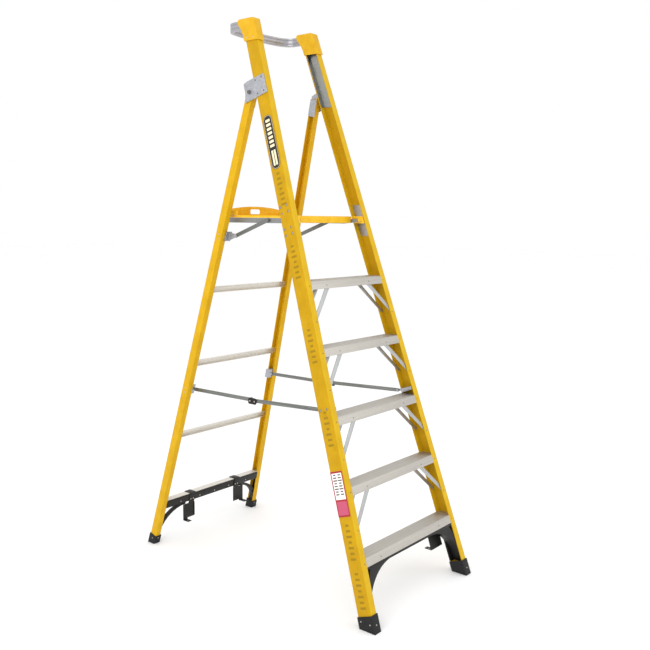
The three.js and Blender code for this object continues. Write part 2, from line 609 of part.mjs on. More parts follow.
/** Rear foot brace: a black strip over the front of the bottom rail, with a knee at each leg. */
function rearFootBrace() {
  const high = STRIP.rearTop;
  const low = REAR_RAIL.top - REAR_RAIL.height - GAP - STRIP.thick;
  const front = -GAP - STRIP.thick;
  const foot = BOOT.rear + KNEE.above;
  const inside = REAR.wall + GAP;
  const top = low + STRIP.thick;
  const arch = REAR.flange - KNEE.lip;
  const corner = kneeOutline(REAR, KNEE.rearReach, arch, foot, top, STRIP.thick + KNEE.rearBand);
  const rise = low - foot;
  const gap = new THREE.Shape();
  gap.moveTo(-inside - KNEE.liner, foot + KNEE.foot);
  gap.absellipse(
    -KNEE.rearReach, foot, KNEE.rearReach - arch + KNEE.rearBand, rise,
    Math.asin(KNEE.foot / rise), Math.asin((rise - 1) / rise), false, 0);
  gap.lineTo(-inside - KNEE.liner, low - 1);
  gap.closePath();
  const band = acrossY(corner, inside, 26).subtract(acrossY(gap, inside - 5, 31));
  const liner = block(-inside - KNEE.liner, -inside, inside, REAR.depth - inside, foot, top);
  const right = moved(band.add(liner), rearPost);
  const left = solid(mirrored(surface(right)));
  const at = (b, z) => [b + rearY(z), z];
  const strip = outline([at(front, low), at(front, high), at(-GAP, high), at(-GAP, low)]);
  const bar = acrossX(strip, -rearX(low), rearX(low)).intersect(betweenLegs(REAR.flange + GAP, low - 9, high + 9));
  const under0 = low + STRIP.thick;
  const shelf = outline([at(front, low), at(front, under0), at(9, under0), at(9, low)]);
  const under = acrossX(shelf, -rearX(low), rearX(low))
    .intersect(betweenLegs(REAR.flange + GAP, low - 9, high + 9));
  return joined([right, left, bar, under]);
}

/** Rear hanger: a strap over the bottom rail, a plate below it and a holed tab pointing forward. */
function rearHanger() {
  const { thick, strap, width, drop, tab, tabWidth, hole } = HANGER;
  const x0 = REAR_HANGER_X;
  const top = REAR_RAIL.top + GAP;
  const front = -2 * GAP - STRIP.thick - thick;
  const low = REAR_RAIL.top - REAR_RAIL.height - 15;
  const face = rearY(low) + front;
  const over = block(x0, x0 + strap, front, REAR.depth, top, top + thick);
  const fall = block(x0, x0 + strap, front, front + thick, low - 2, top + thick);
  const strapped = moved(
    over.add(fall), new THREE.Matrix4().set(1, 0, 0, 0, 0, 1, -REAR.lean, rearY(0), 0, 0, 1, 0, 0, 0, 0, 1));
  const plate = block(x0, x0 + width, face, face + thick, low - drop, low);
  const edge = block(x0, x0 + thick, face - HANGER.edge, face + 1, low - drop + 14, low);
  const foot = block(x0 + width - tabWidth, x0 + width, face - tab, face + 1, low - drop, low - drop + thick);
  const notch = block(x0 - 1, x0 + width - tabWidth - 4, face - 9, face + thick + 1, low - drop - 1, low - drop + 9);
  const drill = new THREE.CylinderGeometry(hole, hole, 20, 16);
  drill.rotateX(Math.PI / 2);
  drill.translate(x0 + width - tabWidth / 2, face - tab * 0.55, low - drop);
  return joined([strapped, plate, edge, foot]).subtract(notch).subtract(solid(drill));
}

/** Front hanger: the same plate under the back edge of the bottom tread, its tab pointing back. */
function frontHanger() {
  const { thick, tab, tabWidth, hole } = HANGER;
  const { x: x0, width, bottom: low } = FRONT_HANGER;
  const rear = FRONT.depth + GAP + 1;
  const plate = block(x0, x0 + width, rear, rear + thick, low, STEP_RISE - TREAD.height + 20);
  const foot = block(x0, x0 + tabWidth, rear + 1, rear + thick + tab, low, low + thick);
  const drill = new THREE.CylinderGeometry(hole, hole, 20, 16);
  drill.rotateX(Math.PI / 2);
  drill.translate(x0 + tabWidth / 2, rear + thick + tab * 0.55, low);
  const upright = joined([plate, foot]).subtract(solid(drill));
  return moved(upright, new THREE.Matrix4().set(1, 0, 0, 0, 0, 1, FRONT.lean, 0, 0, 0, 1, 0, 0, 0, 0, 1));
}

/** Rear spreader bracket: a tray inside the leg with a lug in front of it. */
function rearBarBracket() {
  const inside = REAR.wall + GAP;
  const inner = rearBarOuter - BAR.thick - 0.7;
  const lugOuter = inner - rearX(BAR.rearZ);
  const z0 = BAR.rearZ - 24;
  const z1 = BAR.rearZ + 24;
  const floor = inside + 1;
  const tray = block(lugOuter - LUG.thick, -inside, floor, REAR.depth - inside - 1, z0, z1);
  const pocket = block(lugOuter, -inside - 3, floor + 3, REAR.depth, z0 + 4, z1 - 4);
  const body = moved(tray.subtract(pocket), rearPost);
  const start = { y: barRear.y + 16, z: barRear.z };
  const lug = acrossX(linkShape(start, barRear, LUG.radius), lugOuter - LUG.thick, lugOuter);
  const shank = pin(barRear.y, barRear.z, BAR.pin, inner - 2, rearBarOuter + 0.5);
  return joined([body, moved(lug, rearSide), shank]);
}

/** Strut bracket: a plate on the front flange of a rear leg, with a cheek that carries the strut. */
function strutBracket() {
  const { thick, low, high, clear, box, flute } = STRUT_BRACKET;
  const cheek = strutX + STRUT.thick + clear;
  const inner = cheek - rearX(STRUT.z) + 1;
  const outer = STRUT_BRACKET.lap - REAR.flange;
  const front = -GAP - box;
  const grooves = [0.35, 0.7].map((part) => {
    const x = inner + part * (outer - inner);
    return block(x, x + flute, front - 1, front + flute, low - 1, high + 1);
  });
  const plate = block(inner, outer, front, -GAP, low, high).subtract(joined(grooves));
  const rootLow = rearY(low) - GAP - 1;
  const rootHigh = rearY(high) - GAP - 1;
  const { y, z } = strutRear;
  const shape = outline([
    [rootLow, low], [rootHigh, high], [rootHigh - 14, high], [rootHigh - 18, high - 7], [y + 6, z + 11],
    [y - 6, z + 10], [y - 11, z], [y - 6, z - 10], [y + 8, z - 11], [rootLow - 18, low + 6], [rootLow - 13, low]]);
  const shank = pin(strutRear.y, strutRear.z, STRUT.pin, strutX, cheek + 1);
  return joined([moved(plate, rearPost), acrossX(shape, cheek, cheek + thick), shank]);
}

// ---------------------------------------------------------------- platform
/** Deck: a ribbed yellow plank, its front edge turned down as a nosing. */
function deck() {
  const { top, deck: thick, rib } = PLATFORM;
  const front = platformFront;
  const back = platformBack;
  const { depth, height, wall } = NOSING;
  const skin = top - rib;
  const under = skin - thick;
  const points = [
    [front + depth, under], [front + depth, top - height], [front + 2, top - height], [front, top - height + 2],
    [front, top - 5], [front + 2, top - 1], [front + 5, top], [front + 14, top], [front + 15, skin]];
  const pitch = 15;
  const count = Math.floor((back - front - 26) / pitch);
  for (let i = 1; i <= count; i += 1) {
    const y = front + 6 + i * pitch;
    points.push([y, skin], [y + 1, top], [y + 6, top], [y + 7, skin]);
  }
  points.push([back, skin], [back, under]);
  const plank = acrossX(outline(points), -PLATFORM.half, PLATFORM.half);
  const cut = block(-PLATFORM.half - 1, PLATFORM.half + 1, front + wall, front + depth - wall, top - height + wall, under);
  const slot = block(-PLATFORM.half - 1, PLATFORM.half + 1, front + 12, front + depth - 12, top - height - 1, top - height + wall + 1);
  const plan = outline([
    [-platformX(front), front - 1], [platformX(front), front - 1], [platformX(back), back + 1],
    [-platformX(back), back + 1]]);
  const armSpace = (x0, x1) => block(x0, x1, front - 1, front + depth + 1, top - height - 1, under);
  const clear = platformX(front) - SIDE_RAIL.wall - GAP - PLATFORM.taper * depth;
  const sides = joined([armSpace(clear, PLATFORM.half + 9), armSpace(-PLATFORM.half - 9, -clear)]);
  return plank.subtract(cut).subtract(slot).subtract(sides).intersect(upZ(plan, under - 60, top + 5));
}

/** Side rail under the deck, from the pivot in the stile to the back of the platform. */
function sideRail() {
  const { height, width, wall, nose } = SIDE_RAIL;
  const top = PLATFORM.top - PLATFORM.rib - PLATFORM.deck - GAP;
  const low = top - height;
  const back = platformBack - 4;
  const behind = platformFront + NOSING.depth + GAP;
  const body = block(-width, 0, behind, back, low, top);
  const hollow = block(-width - 1, -wall, behind - 1, back + 1, low + wall, top - wall);
  const arm = outline([
    [pivot.y - nose, pivot.z - 3], [pivot.y - nose + 4, pivot.z + nose - 4], [pivot.y, pivot.z + nose - 3.5],
    [behind + 2, top], [behind + 2, low], [pivot.y, pivot.z - nose], [pivot.y - nose + 3, pivot.z - nose + 3]]);
  const reach = acrossX(arm, -wall, 0);
  const taper = new THREE.Matrix4().set(
    1, -PLATFORM.taper, 0, PLATFORM.half + PLATFORM.taper * pivot.y, 0, 1, 0, 0, 0, 0, 1, 0, 0, 0, 0, 1);
  const stub = moved(joined([body.subtract(hollow), reach]), taper);
  const bore = pin(pivot.y, pivot.z, PIVOT.pin + 0.6, 180, 280);
  return stub.subtract(bore);
}

/** Toe board: an arched wall across the back of the deck with a hand hole and two side wings. */
function toeBoard() {
  const { thick, rise, end, wing, hole, holeHeight, holeAbove } = TOE;
  const base = PLATFORM.top + GAP;
  const back = platformBack - 1;
  const half = platformX(back) - 0.5;
  const arch = new THREE.Shape();
  arch.moveTo(-half, base);
  arch.lineTo(half, base);
  arch.lineTo(half, base + end);
  const middle = 2 * rise - end;
  arch.quadraticCurveTo(0, base + middle, -half, base + end);
  arch.closePath();
  const wall = acrossY(arch, back - thick, back);
  const r = 7;
  const grip = new THREE.Shape();
  const z0 = base + holeAbove;
  const z1 = z0 + holeHeight;
  grip.absarc(hole / 2 - r, z0 + r, r, -Math.PI / 2, 0, false);
  grip.absarc(hole / 2 - r, z1 - r, r, 0, Math.PI / 2, false);
  grip.absarc(-hole / 2 + r, z1 - r, r, Math.PI / 2, Math.PI, false);
  grip.absarc(-hole / 2 + r, z0 + r, r, Math.PI, 1.5 * Math.PI, false);
  const side = block(-thick, 0, back - wing, back, base, base + end - 1);
  const taper = new THREE.Matrix4().set(
    1, -PLATFORM.taper, 0, half + PLATFORM.taper * back, 0, 1, 0, 0, 0, 0, 1, 0, 0, 0, 0, 1);
  const right = moved(side, taper);
  const left = solid(mirrored(surface(right)));
  return joined([wall, right, left]).subtract(acrossY(grip, back - thick - 2, back + 2));
}

/** Strut: a ribbed flat bar from the platform's side rail to the rear leg. */
function strut() {
  const radius = STRUT.width / 2;
  const bar = acrossX(linkShape(strutFront, strutRear, radius), strutX, strutX + STRUT.thick);
  const outside = strutX + STRUT.thick;
  const head = pin(strutFront.y, strutFront.z, STRUT.head, outside - 1, outside + STRUT.headThick);
  return bar.add(head).subtract(pin(strutRear.y, strutRear.z, STRUT.pin + 0.5, strutX - 5, strutX + 9));
}

// ---------------------------------------------------------------- assembly
const ladder = new THREE.Group();
ladder.position.y = -CENTRE_Y;

function add(name, geometry, material) {
  const piece = new THREE.Mesh(geometry, material);
  piece.name = name;
  ladder.add(piece);
}

/** Adds a piece modelled on the right of the ladder, and its mirror image on the left. */
function addPair(name, body, material) {
  const right = surface(body);
  add(`${name}_right`, right, material);
  add(`${name}_left`, mirrored(right), material);
}

addPair("front_stile", frontStile(), FIBREGLASS);
addPair("stile_liner", stileLiner(), ALUMINIUM);
addPair("top_cap", topCap(), YELLOW_PLASTIC);
add("guard_rail", surface(guardRail()), ALUMINIUM);
for (let i = 1; i <= TREADS; i += 1) {
  add(`tread_${i}`, surface(tread(i * STEP_RISE)), ALUMINIUM);
  if (i > 1) addPair(`tread_brace_${i}`, treadBrace(i * STEP_RISE), ALUMINIUM);
}
add("front_foot_brace", surface(frontFootBrace()), BLACK_STEEL);
add("front_hanger", surface(frontHanger()), BLACK_STEEL);
addPair("front_boot", moved(boot(FRONT, BOOT.front, FRONT.lean), frontPost), BLACK_PLASTIC);
addPair("hinge_plate", hingePlate(), ZINC);
addPair("hinge_bolt", hingeBolt(), ZINC);
addPair("platform_mount", platformMount(), ALUMINIUM);
addPair("spreader_front_bracket", frontBarBracket(), ZINC);
addPair("spreader_front_bar", frontBar(), DARK_ALUMINIUM);
addPair("spreader_joint", jointBlock(), BLACK_PLASTIC);
addPair("spreader_rear_bar", rearBar(), DARK_ALUMINIUM);
addPair("spreader_rear_bracket", rearBarBracket(), ZINC);
addPair("rear_leg", rearLeg(), FIBREGLASS);
RUNG.tops.forEach((top, i) => {
  add(`rear_rung_${i + 1}`, surface(rearRung(top, RUNG.height, RUNG.depth, RUNG.wall)), ALUMINIUM);
});
add("rear_bottom_rail", surface(rearRung(REAR_RAIL.top, REAR_RAIL.height, REAR.depth, REAR_RAIL.wall)), ALUMINIUM);
add("rear_foot_brace", surface(rearFootBrace()), BLACK_STEEL);
addPair("rear_hanger", rearHanger(), BLACK_STEEL);
addPair("rear_boot", moved(boot(REAR, BOOT.rear, -REAR.lean), rearPost), BLACK_PLASTIC);
addPair("strut_bracket", strutBracket(), ZINC);
addPair("platform_strut", strut(), DARK_ALUMINIUM);
add("platform_deck", surface(deck()), YELLOW_PLASTIC);
addPair("platform_side_rail", sideRail(), ALUMINIUM);
add("toe_board", surface(toeBoard()), YELLOW_PLASTIC);

export default ladder;
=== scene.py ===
"""Dresses the platform step ladder: finishes, edges, fasteners, labels, floor, light, camera."""

from __future__ import annotations

import logging
import math
from dataclasses import dataclass, field
from enum import Enum
from typing import Any, Callable

import bmesh
import bpy
from mathutils import Matrix, Vector

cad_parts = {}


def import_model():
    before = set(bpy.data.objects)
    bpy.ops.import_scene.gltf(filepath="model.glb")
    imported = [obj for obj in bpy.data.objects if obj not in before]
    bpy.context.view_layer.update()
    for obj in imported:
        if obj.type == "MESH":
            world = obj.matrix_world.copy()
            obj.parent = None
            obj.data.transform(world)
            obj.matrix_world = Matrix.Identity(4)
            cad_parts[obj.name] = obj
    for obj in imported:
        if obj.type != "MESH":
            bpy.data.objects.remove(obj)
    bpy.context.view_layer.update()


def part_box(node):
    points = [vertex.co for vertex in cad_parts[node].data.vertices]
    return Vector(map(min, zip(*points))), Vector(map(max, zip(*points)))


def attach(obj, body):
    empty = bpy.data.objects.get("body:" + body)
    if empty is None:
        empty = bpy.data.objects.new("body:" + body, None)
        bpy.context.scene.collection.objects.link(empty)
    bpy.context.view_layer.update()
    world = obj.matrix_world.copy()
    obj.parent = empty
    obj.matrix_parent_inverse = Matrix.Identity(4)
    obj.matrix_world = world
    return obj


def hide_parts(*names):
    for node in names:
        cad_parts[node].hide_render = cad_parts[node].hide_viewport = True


LOG = logging.getLogger("step_ladder")
MM = 0.001


class Side(Enum):
    """The two halves of the ladder, each with its sign along X."""

    LEFT = -1
    RIGHT = 1

    @property
    def node(self) -> str:
        """Ending of this side's node names."""
        return self.name.lower()


class Run(Enum):
    """The direction that drawn or extruded lines take."""

    ACROSS = "x"
    ALONG_STILE = "stile"
    ALONG_LEG = "leg"
    FORE_AND_AFT = "y"
    ALONG_STRUT = "strut"


def linear(hex_colour: str) -> tuple[float, float, float, float]:
    """Turns an sRGB hex colour into the linear colour that shaders take.

    Args:
        hex_colour: six hex digits, with or without a leading #.

    Returns:
        Linear red, green, blue and an alpha of 1.
    """
    digits = hex_colour.lstrip("#")
    channels = [int(digits[i : i + 2], 16) / 255 for i in (0, 2, 4)]
    r, g, b = [c / 12.92 if c <= 0.04045 else ((c + 0.055) / 1.055) ** 2.4 for c in channels]
    return r, g, b, 1.0


def add_node(
    tree: bpy.types.NodeTree, kind: str, inputs: dict[Any, Any] | None = None, **settings: Any
) -> Any:
    """Adds a node to a tree, with its settings, socket values and links.

    Args:
        tree: the shader or geometry tree.
        kind: the node's type name.
        inputs: socket name or index to a value, or to an output socket that it is linked to.
        settings: the node's own properties.

    Returns:
        The new node.
    """
    node = tree.nodes.new(kind)
    for key, value in settings.items():
        setattr(node, key, value)
    for key, value in (inputs or {}).items():
        if isinstance(value, bpy.types.NodeSocket):
            tree.links.new(value, node.inputs[key])
        else:
            node.inputs[key].default_value = value
    return node


# --------------------------------------------------------------------------------------- finishes


@dataclass(frozen=True)
class Finish:
    """A surface finish: what the material is, and the numbers a shader needs."""

    name: str
    colour: str
    roughness: float = 0.5
    metallic: float = 0.0
    specular: float = 0.5

    def material(self) -> bpy.types.Material:
        """Builds the node material.

        Returns:
            The material, made once and then reused.
        """
        made = bpy.data.materials.get(self.name)
        if made:
            return made
        made = bpy.data.materials.new(self.name)
        made.use_nodes = True
        tree = made.node_tree
        tree.nodes.clear()
        shader = add_node(
            tree,
            "ShaderNodeBsdfPrincipled",
            {
                "Base Color": linear(self.colour),
                "Roughness": self.roughness,
                "Metallic": self.metallic,
                "Specular IOR Level": self.specular,
            },
        )
        coords = add_node(tree, "ShaderNodeTexCoord").outputs["Object"]
        self.pattern(tree, shader, coords)
        add_node(tree, "ShaderNodeOutputMaterial", {"Surface": shader.outputs["BSDF"]})
        made.diffuse_color = linear(self.colour)
        return made

    def pattern(
        self, tree: bpy.types.NodeTree, shader: bpy.types.Node, coords: bpy.types.NodeSocket
    ) -> None:
        """Adds the finish's own pattern; a plain finish only varies a little in gloss."""
        grain = self.noise(tree, coords, 6.0, 3.0)
        self.gloss(tree, shader, grain, 0.04)

    def noise(
        self,
        tree: bpy.types.NodeTree,
        coords: bpy.types.NodeSocket,
        size: float,
        detail: float = 4.0,
    ) -> bpy.types.NodeSocket:
        """Adds a noise whose blotches are about one size across.

        Args:
            tree: the material's tree.
            coords: the coordinates that the noise reads.
            size: the blotches' size in millimetres.
            detail: octaves of finer detail.

        Returns:
            The noise's value socket.
        """
        node = add_node(
            tree,
            "ShaderNodeTexNoise",
            {"Vector": coords, "Scale": 1 / (size * MM), "Detail": detail, "Roughness": 0.55},
        )
        return node.outputs["Fac"]

    def stretched(
        self,
        tree: bpy.types.NodeTree,
        coords: bpy.types.NodeSocket,
        run: Run,
        across: float,
        along: float,
    ) -> bpy.types.NodeSocket:
        """Adds a noise drawn out into lines along a direction.

        Args:
            tree: the material's tree.
            coords: Object coordinates.
            run: the direction of the lines.
            across: spacing of the lines, in millimetres.
            along: length of the lines, in millimetres.

        Returns:
            The noise's value socket.
        """
        turn = {
            Run.ALONG_STILE: -STILE_LEAN,
            Run.ALONG_LEG: LEG_LEAN,
            Run.ALONG_STRUT: -STRUT_DROP,
        }.get(run, 0.0)
        size = {
            Run.ACROSS: (along, across, across),
            Run.FORE_AND_AFT: (across, along, across),
            Run.ALONG_STRUT: (across, along, across),
        }.get(run, (across, across, along))
        mapped = add_node(
            tree,
            "ShaderNodeMapping",
            {"Vector": coords, "Rotation": (turn, 0.0, 0.0), "Scale": tuple(s * MM for s in size)},
            vector_type="TEXTURE",
        )
        node = add_node(
            tree,
            "ShaderNodeTexNoise",
            {"Vector": mapped.outputs[0], "Scale": 1.0, "Detail": 3.0, "Roughness": 0.6},
        )
        return node.outputs["Fac"]

    def gloss(
        self,
        tree: bpy.types.NodeTree,
        shader: bpy.types.Node,
        value: bpy.types.NodeSocket,
        spread: float,
    ) -> None:
        """Lets a pattern vary the roughness by a spread either way."""
        ranged = add_node(
            tree,
            "ShaderNodeMapRange",
            {
                "Value": value,
                "From Min": 0.3,
                "From Max": 0.7,
                "To Min": self.roughness - spread,
                "To Max": self.roughness + spread,
            },
        )
        tree.links.new(ranged.outputs[0], shader.inputs["Roughness"])

    def tint(
        self,
        tree: bpy.types.NodeTree,
        shader: bpy.types.Node,
        value: bpy.types.NodeSocket,
        dark: str,
        light: str,
    ) -> None:
        """Lets a pattern move the colour between two tones."""
        ramp = add_node(tree, "ShaderNodeValToRGB", {"Fac": value})
        ramp.color_ramp.elements[0].position = 0.32
        ramp.color_ramp.elements[1].position = 0.68
        ramp.color_ramp.elements[0].color = linear(dark)
        ramp.color_ramp.elements[1].color = linear(light)
        tree.links.new(ramp.outputs["Color"], shader.inputs["Base Color"])

    def relief(
        self,
        tree: bpy.types.NodeTree,
        shader: bpy.types.Node,
        height: bpy.types.NodeSocket,
        depth: float,
    ) -> None:
        """Raises the surface by a pattern, to a depth in millimetres."""
        bump = add_node(
            tree, "ShaderNodeBump", {"Height": height, "Strength": 1.0, "Distance": depth * MM}
        )
        tree.links.new(bump.outputs["Normal"], shader.inputs["Normal"])


@dataclass(frozen=True)
class Pultruded(Finish):
    """Glass-fibre channel: resin pulled through a die, glass strands showing faintly along it."""

    run: Run = Run.ALONG_STILE
    dark: str = "#000000"
    light: str = "#ffffff"

    def pattern(
        self, tree: bpy.types.NodeTree, shader: bpy.types.Node, coords: bpy.types.NodeSocket
    ) -> None:
        """Strands 2 mm apart, coarse enough to show, over slow changes of tone."""
        strands = self.stretched(tree, coords, self.run, 2.2, 130)
        cloud = self.noise(tree, coords, 70, 2)
        both = add_node(
            tree, "ShaderNodeMix", {0: 0.45, 2: strands, 3: cloud}, data_type="FLOAT"
        ).outputs[0]
        self.tint(tree, shader, both, self.dark, self.light)
        self.gloss(tree, shader, strands, 0.07)
        self.relief(tree, shader, strands, 0.05)


@dataclass(frozen=True)
class Moulded(Finish):
    """Injection-moulded plastic: a fine spark-eroded grain with a soft, even sheen."""

    grain: float = 1.4
    dark: str = "#000000"
    light: str = "#ffffff"

    def pattern(
        self, tree: bpy.types.NodeTree, shader: bpy.types.Node, coords: bpy.types.NodeSocket
    ) -> None:
        """Grain is near 1 mm here, coarser than the mould's, so that it shows."""
        grain = self.noise(tree, coords, self.grain, 2)
        cloud = self.noise(tree, coords, 45, 2)
        self.tint(tree, shader, cloud, self.dark, self.light)
        self.gloss(tree, shader, grain, 0.05)
        self.relief(tree, shader, grain, 0.035)


@dataclass(frozen=True)
class Extruded(Finish):
    """Mill-finish aluminium: die lines along the extrusion and a cloudy, warm grey skin."""

    run: Run = Run.ACROSS
    dark: str = "#000000"
    light: str = "#ffffff"
    spacing: float = 1.3
    depth: float = 0.02
    marked: float = 0.2

    def pattern(
        self, tree: bpy.types.NodeTree, shader: bpy.types.Node, coords: bpy.types.NodeSocket
    ) -> None:
        """Die lines a little over 1 mm apart, with hand marks in the gloss."""
        lines = self.stretched(tree, coords, self.run, self.spacing, 420)
        marks = self.noise(tree, coords, 28, 5)
        both = add_node(
            tree, "ShaderNodeMix", {0: self.marked, 2: lines, 3: marks}, data_type="FLOAT"
        ).outputs[0]
        self.tint(tree, shader, both, self.dark, self.light)
        self.gloss(tree, shader, marks, 0.05)
        if self.depth:
            self.relief(tree, shader, lines, self.depth)


@dataclass(frozen=True)
class ZincPlated(Finish):
    """Pressed steel with bright zinc plating: faint crystals and rubbed, brighter high spots."""

    dark: str = "#000000"
    light: str = "#ffffff"

    def pattern(
        self, tree: bpy.types.NodeTree, shader: bpy.types.Node, coords: bpy.types.NodeSocket
    ) -> None:
        """Crystals about 4 mm across."""
        cells = add_node(tree, "ShaderNodeTexVoronoi", {"Vector": coords, "Scale": 1 / (4 * MM)})
        rub = self.noise(tree, coords, 14, 4)
        both = add_node(
            tree, "ShaderNodeMix", {0: 0.6, 2: cells.outputs["Distance"], 3: rub}, data_type="FLOAT"
        ).outputs[0]
        self.tint(tree, shader, both, self.dark, self.light)
        self.gloss(tree, shader, rub, 0.1)
        self.relief(tree, shader, rub, 0.02)


@dataclass(frozen=True)
class PowderCoated(Finish):
    """Steel under baked powder: slightly waved like orange peel, and rubbed grey in places."""

    dark: str = "#000000"
    light: str = "#ffffff"

    def pattern(
        self, tree: bpy.types.NodeTree, shader: bpy.types.Node, coords: bpy.types.NodeSocket
    ) -> None:
        """Waves about 2 mm across."""
        peel = self.noise(tree, coords, 2.2, 1)
        rub = self.noise(tree, coords, 35, 6)
        self.tint(tree, shader, rub, self.dark, self.light)
        self.gloss(tree, shader, rub, 0.09)
        self.relief(tree, shader, peel, 0.06)


STILE_LEAN = math.radians(18.41)
LEG_LEAN = math.radians(14.62)
STRUT_DROP = math.radians(20.3)
SHARP = math.radians(38)
STILE_FLANGE, STILE_DEPTH = 36.5 * MM, 75.1 * MM
LEG_FLANGE, LEG_DEPTH = 30.7 * MM, 42.8 * MM
CAP_WALL = 6.5 * MM
BOOT_WALL = 4.0 * MM
STRIP_FRONT = 3.4 * MM
HANGER_FRONT = 6.8 * MM

STILE_GLASS = Pultruded(
    "pultruded_glass_fibre_stile", "#bf9408", 0.46, specular=0.14, run=Run.ALONG_STILE,
    dark="#b38804", light="#cb9f0c",
)
LEG_GLASS = Pultruded(
    "pultruded_glass_fibre_leg", "#d2a40e", 0.46, specular=0.14, run=Run.ALONG_LEG,
    dark="#c59706", light="#ddaf14",
)
# Painted light: a lighter copy of the stile's yellow for the faces that look forward, standing in
# for light falling on the front flanges.
STILE_FRONT_PAINTED_LIGHT = Pultruded(
    "pultruded_glass_fibre_face", "#d4ab16", 0.46, specular=0.14, run=Run.ALONG_STILE,
    dark="#caa00e", light="#deb61e",
)
CAP_PLASTIC = Moulded(
    "moulded_polypropylene_yellow", "#d8a81a", 0.42, specular=0.2, dark="#d3a212", light="#deae22"
)
# The moulded yellow plastic, made lighter than the caps' to make up for shade on the deck, toe
# board and noses: its own yellow plus painted light.
DECK_PLASTIC_LIGHTENED = Moulded(
    "moulded_deck_yellow", "#eeba20", 0.45, specular=0.2, dark="#e8b318", light="#f4c22a"
)
TREAD_ALLOY = Extruded(
    "mill_aluminium_tread", "#b8b4ad", 0.42, 0.6, dark="#aba79f", light="#c4c0b9"
)
# Same mill aluminium as the treads, painted lighter to make up for shade on the rungs' tops and
# fronts: partly painted light.
RUNG_ALLOY_LIGHTENED = Extruded("mill_aluminium_rung", "#dcd8d0", 0.45, 0.4, dark="#d1ccc3", light="#e6e2da")
LINER_ALLOY = Extruded(
    "mill_aluminium_liner", "#a2a3a0", 0.3, 0.9, run=Run.ALONG_STILE,
    dark="#969794", light="#adaeab", depth=0.0,
)
RAIL_ALLOY = Extruded(
    "polished_aluminium_rail", "#a6a6ab", 0.33, 0.65, dark="#9d9da2", light="#b0b0b5", depth=0.0
)
BAR = {"dark": "#606260", "light": "#8e908c", "spacing": 3.2, "marked": 0.1}
BAR_ALLOY = Extruded("anodised_aluminium_bar", "#8a8c88", 0.4, 0.75, run=Run.FORE_AND_AFT, **BAR)
STRUT_ALLOY = Extruded("anodised_aluminium_strut", "#8a8c88", 0.4, 0.75, run=Run.ALONG_STRUT, **BAR)
SIDE_ALLOY = Extruded(
    "mill_aluminium_side_rail", "#8f9190", 0.42, 0.7, run=Run.FORE_AND_AFT,
    dark="#808382", light="#9b9d9c",
)
BRACE_ALLOY = Extruded(
    "aluminium_strip", "#afb1b0", 0.42, 0.6, run=Run.ALONG_STILE, dark="#a3a5a4", light="#bbbdbc"
)
ZINC = ZincPlated("zinc_plated_steel", "#aaacb0", 0.42, 0.7, dark="#9ea0a5", light="#b6b8bd")
RIVET_STEEL = ZincPlated("bright_rivet", "#b9b3a9", 0.4, 0.6, dark="#ada79d", light="#c6c0b6")
DULL_STEEL = ZincPlated("dull_steel", "#66625b", 0.5, 0.5, dark="#58544d", light="#736f68")
# Dark brown: painted shade in the thin ring round each stile rivet, also used for the dark centre
# pins.
SHADE_RING_AND_DARK_PIN = ZincPlated("rivet_seat", "#5a4416", 0.6, dark="#4e3a12", light="#664e1c")
BLACK_POWDER = PowderCoated(
    "black_powder_coat", "#151413", 0.5, specular=0.35, dark="#100f0e", light="#1d1b1a"
)
BLACK_RUBBER = Moulded(
    "black_moulded_rubber", "#121213", 0.6, specular=0.35,
    dark="#0e0e0f", light="#19191a", grain=1.1,
)
STENCIL = Finish("stencil_paint", "#9a7a14", 0.5, specular=0.14)


# ------------------------------------------------------------ the two frames


@dataclass(frozen=True)
class Post:
    """A leaning, tapering channel of the ladder, worked out from its node's box."""

    outer: float
    taper: float
    front: float
    lean: float
    depth: float
    flange: float

    @staticmethod
    def measure(node: str, flange: float, depth: float, forward: bool) -> "Post":
        """Reads a right-hand post from the frame.

        Args:
            node: the post's CAD node, on the right.
            flange: how far its flanges reach in, in metres.
            depth: its depth from front to back, in metres.
            forward: True where the post's foot is ahead of its top.

        Returns:
            The post.
        """
        low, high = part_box(node)
        rise = high[2] - low[2]
        taper = (high[0] - low[0] - flange) / rise
        run = high[1] - low[1] - depth
        lean = run / rise if forward else -run / rise
        front = low[1] if forward else high[1] - depth
        return Post(high[0] + taper * low[2], taper, front - lean * low[2], lean, depth, flange)

    def web(self, side: Side, behind: float, z: float, proud: float = 0.0) -> Vector:
        """A point on the outer face, at a distance behind the front face and a height."""
        x = self.outer - self.taper * z + proud
        return Vector((side.value * x, self.front + self.lean * z + behind, z))

    def face(self, x: float, z: float, behind: float = 0.0) -> Vector:
        """A point on the front plane, or behind it."""
        return Vector((x, self.front + self.lean * z + behind, z))

    def out(self, side: Side) -> Vector:
        """The outer face's normal."""
        return Vector((side.value, 0.0, self.taper)).normalized()

    @property
    def ahead(self) -> Vector:
        """The front face's normal."""
        return Vector((0.0, -1.0, self.lean)).normalized()

    def edge(self, z: float) -> float:
        """Distance from the middle of the ladder to the flanges' edge at a height."""
        return self.outer - self.taper * z - self.flange


# ------------------------------------------------------------ making pieces


def new_object(name: str, mesh: bpy.types.Mesh, finish: Finish) -> bpy.types.Object:
    """Links a mesh into the scene with a finish.

    Args:
        name: the piece's name.
        mesh: its mesh, already in place.
        finish: its finish.

    Returns:
        The object, at the origin.
    """
    piece = bpy.data.objects.new(name, mesh)
    bpy.context.scene.collection.objects.link(piece)
    mesh.materials.clear()
    mesh.materials.append(finish.material())
    return piece


def shade(mesh: bpy.types.Mesh, angle: float = 32.0) -> None:
    """Shades a mesh smooth, with creases where its faces turn by more than an angle in degrees."""
    mesh.shade_smooth()
    mesh.set_sharp_from_angle(angle=math.radians(angle))


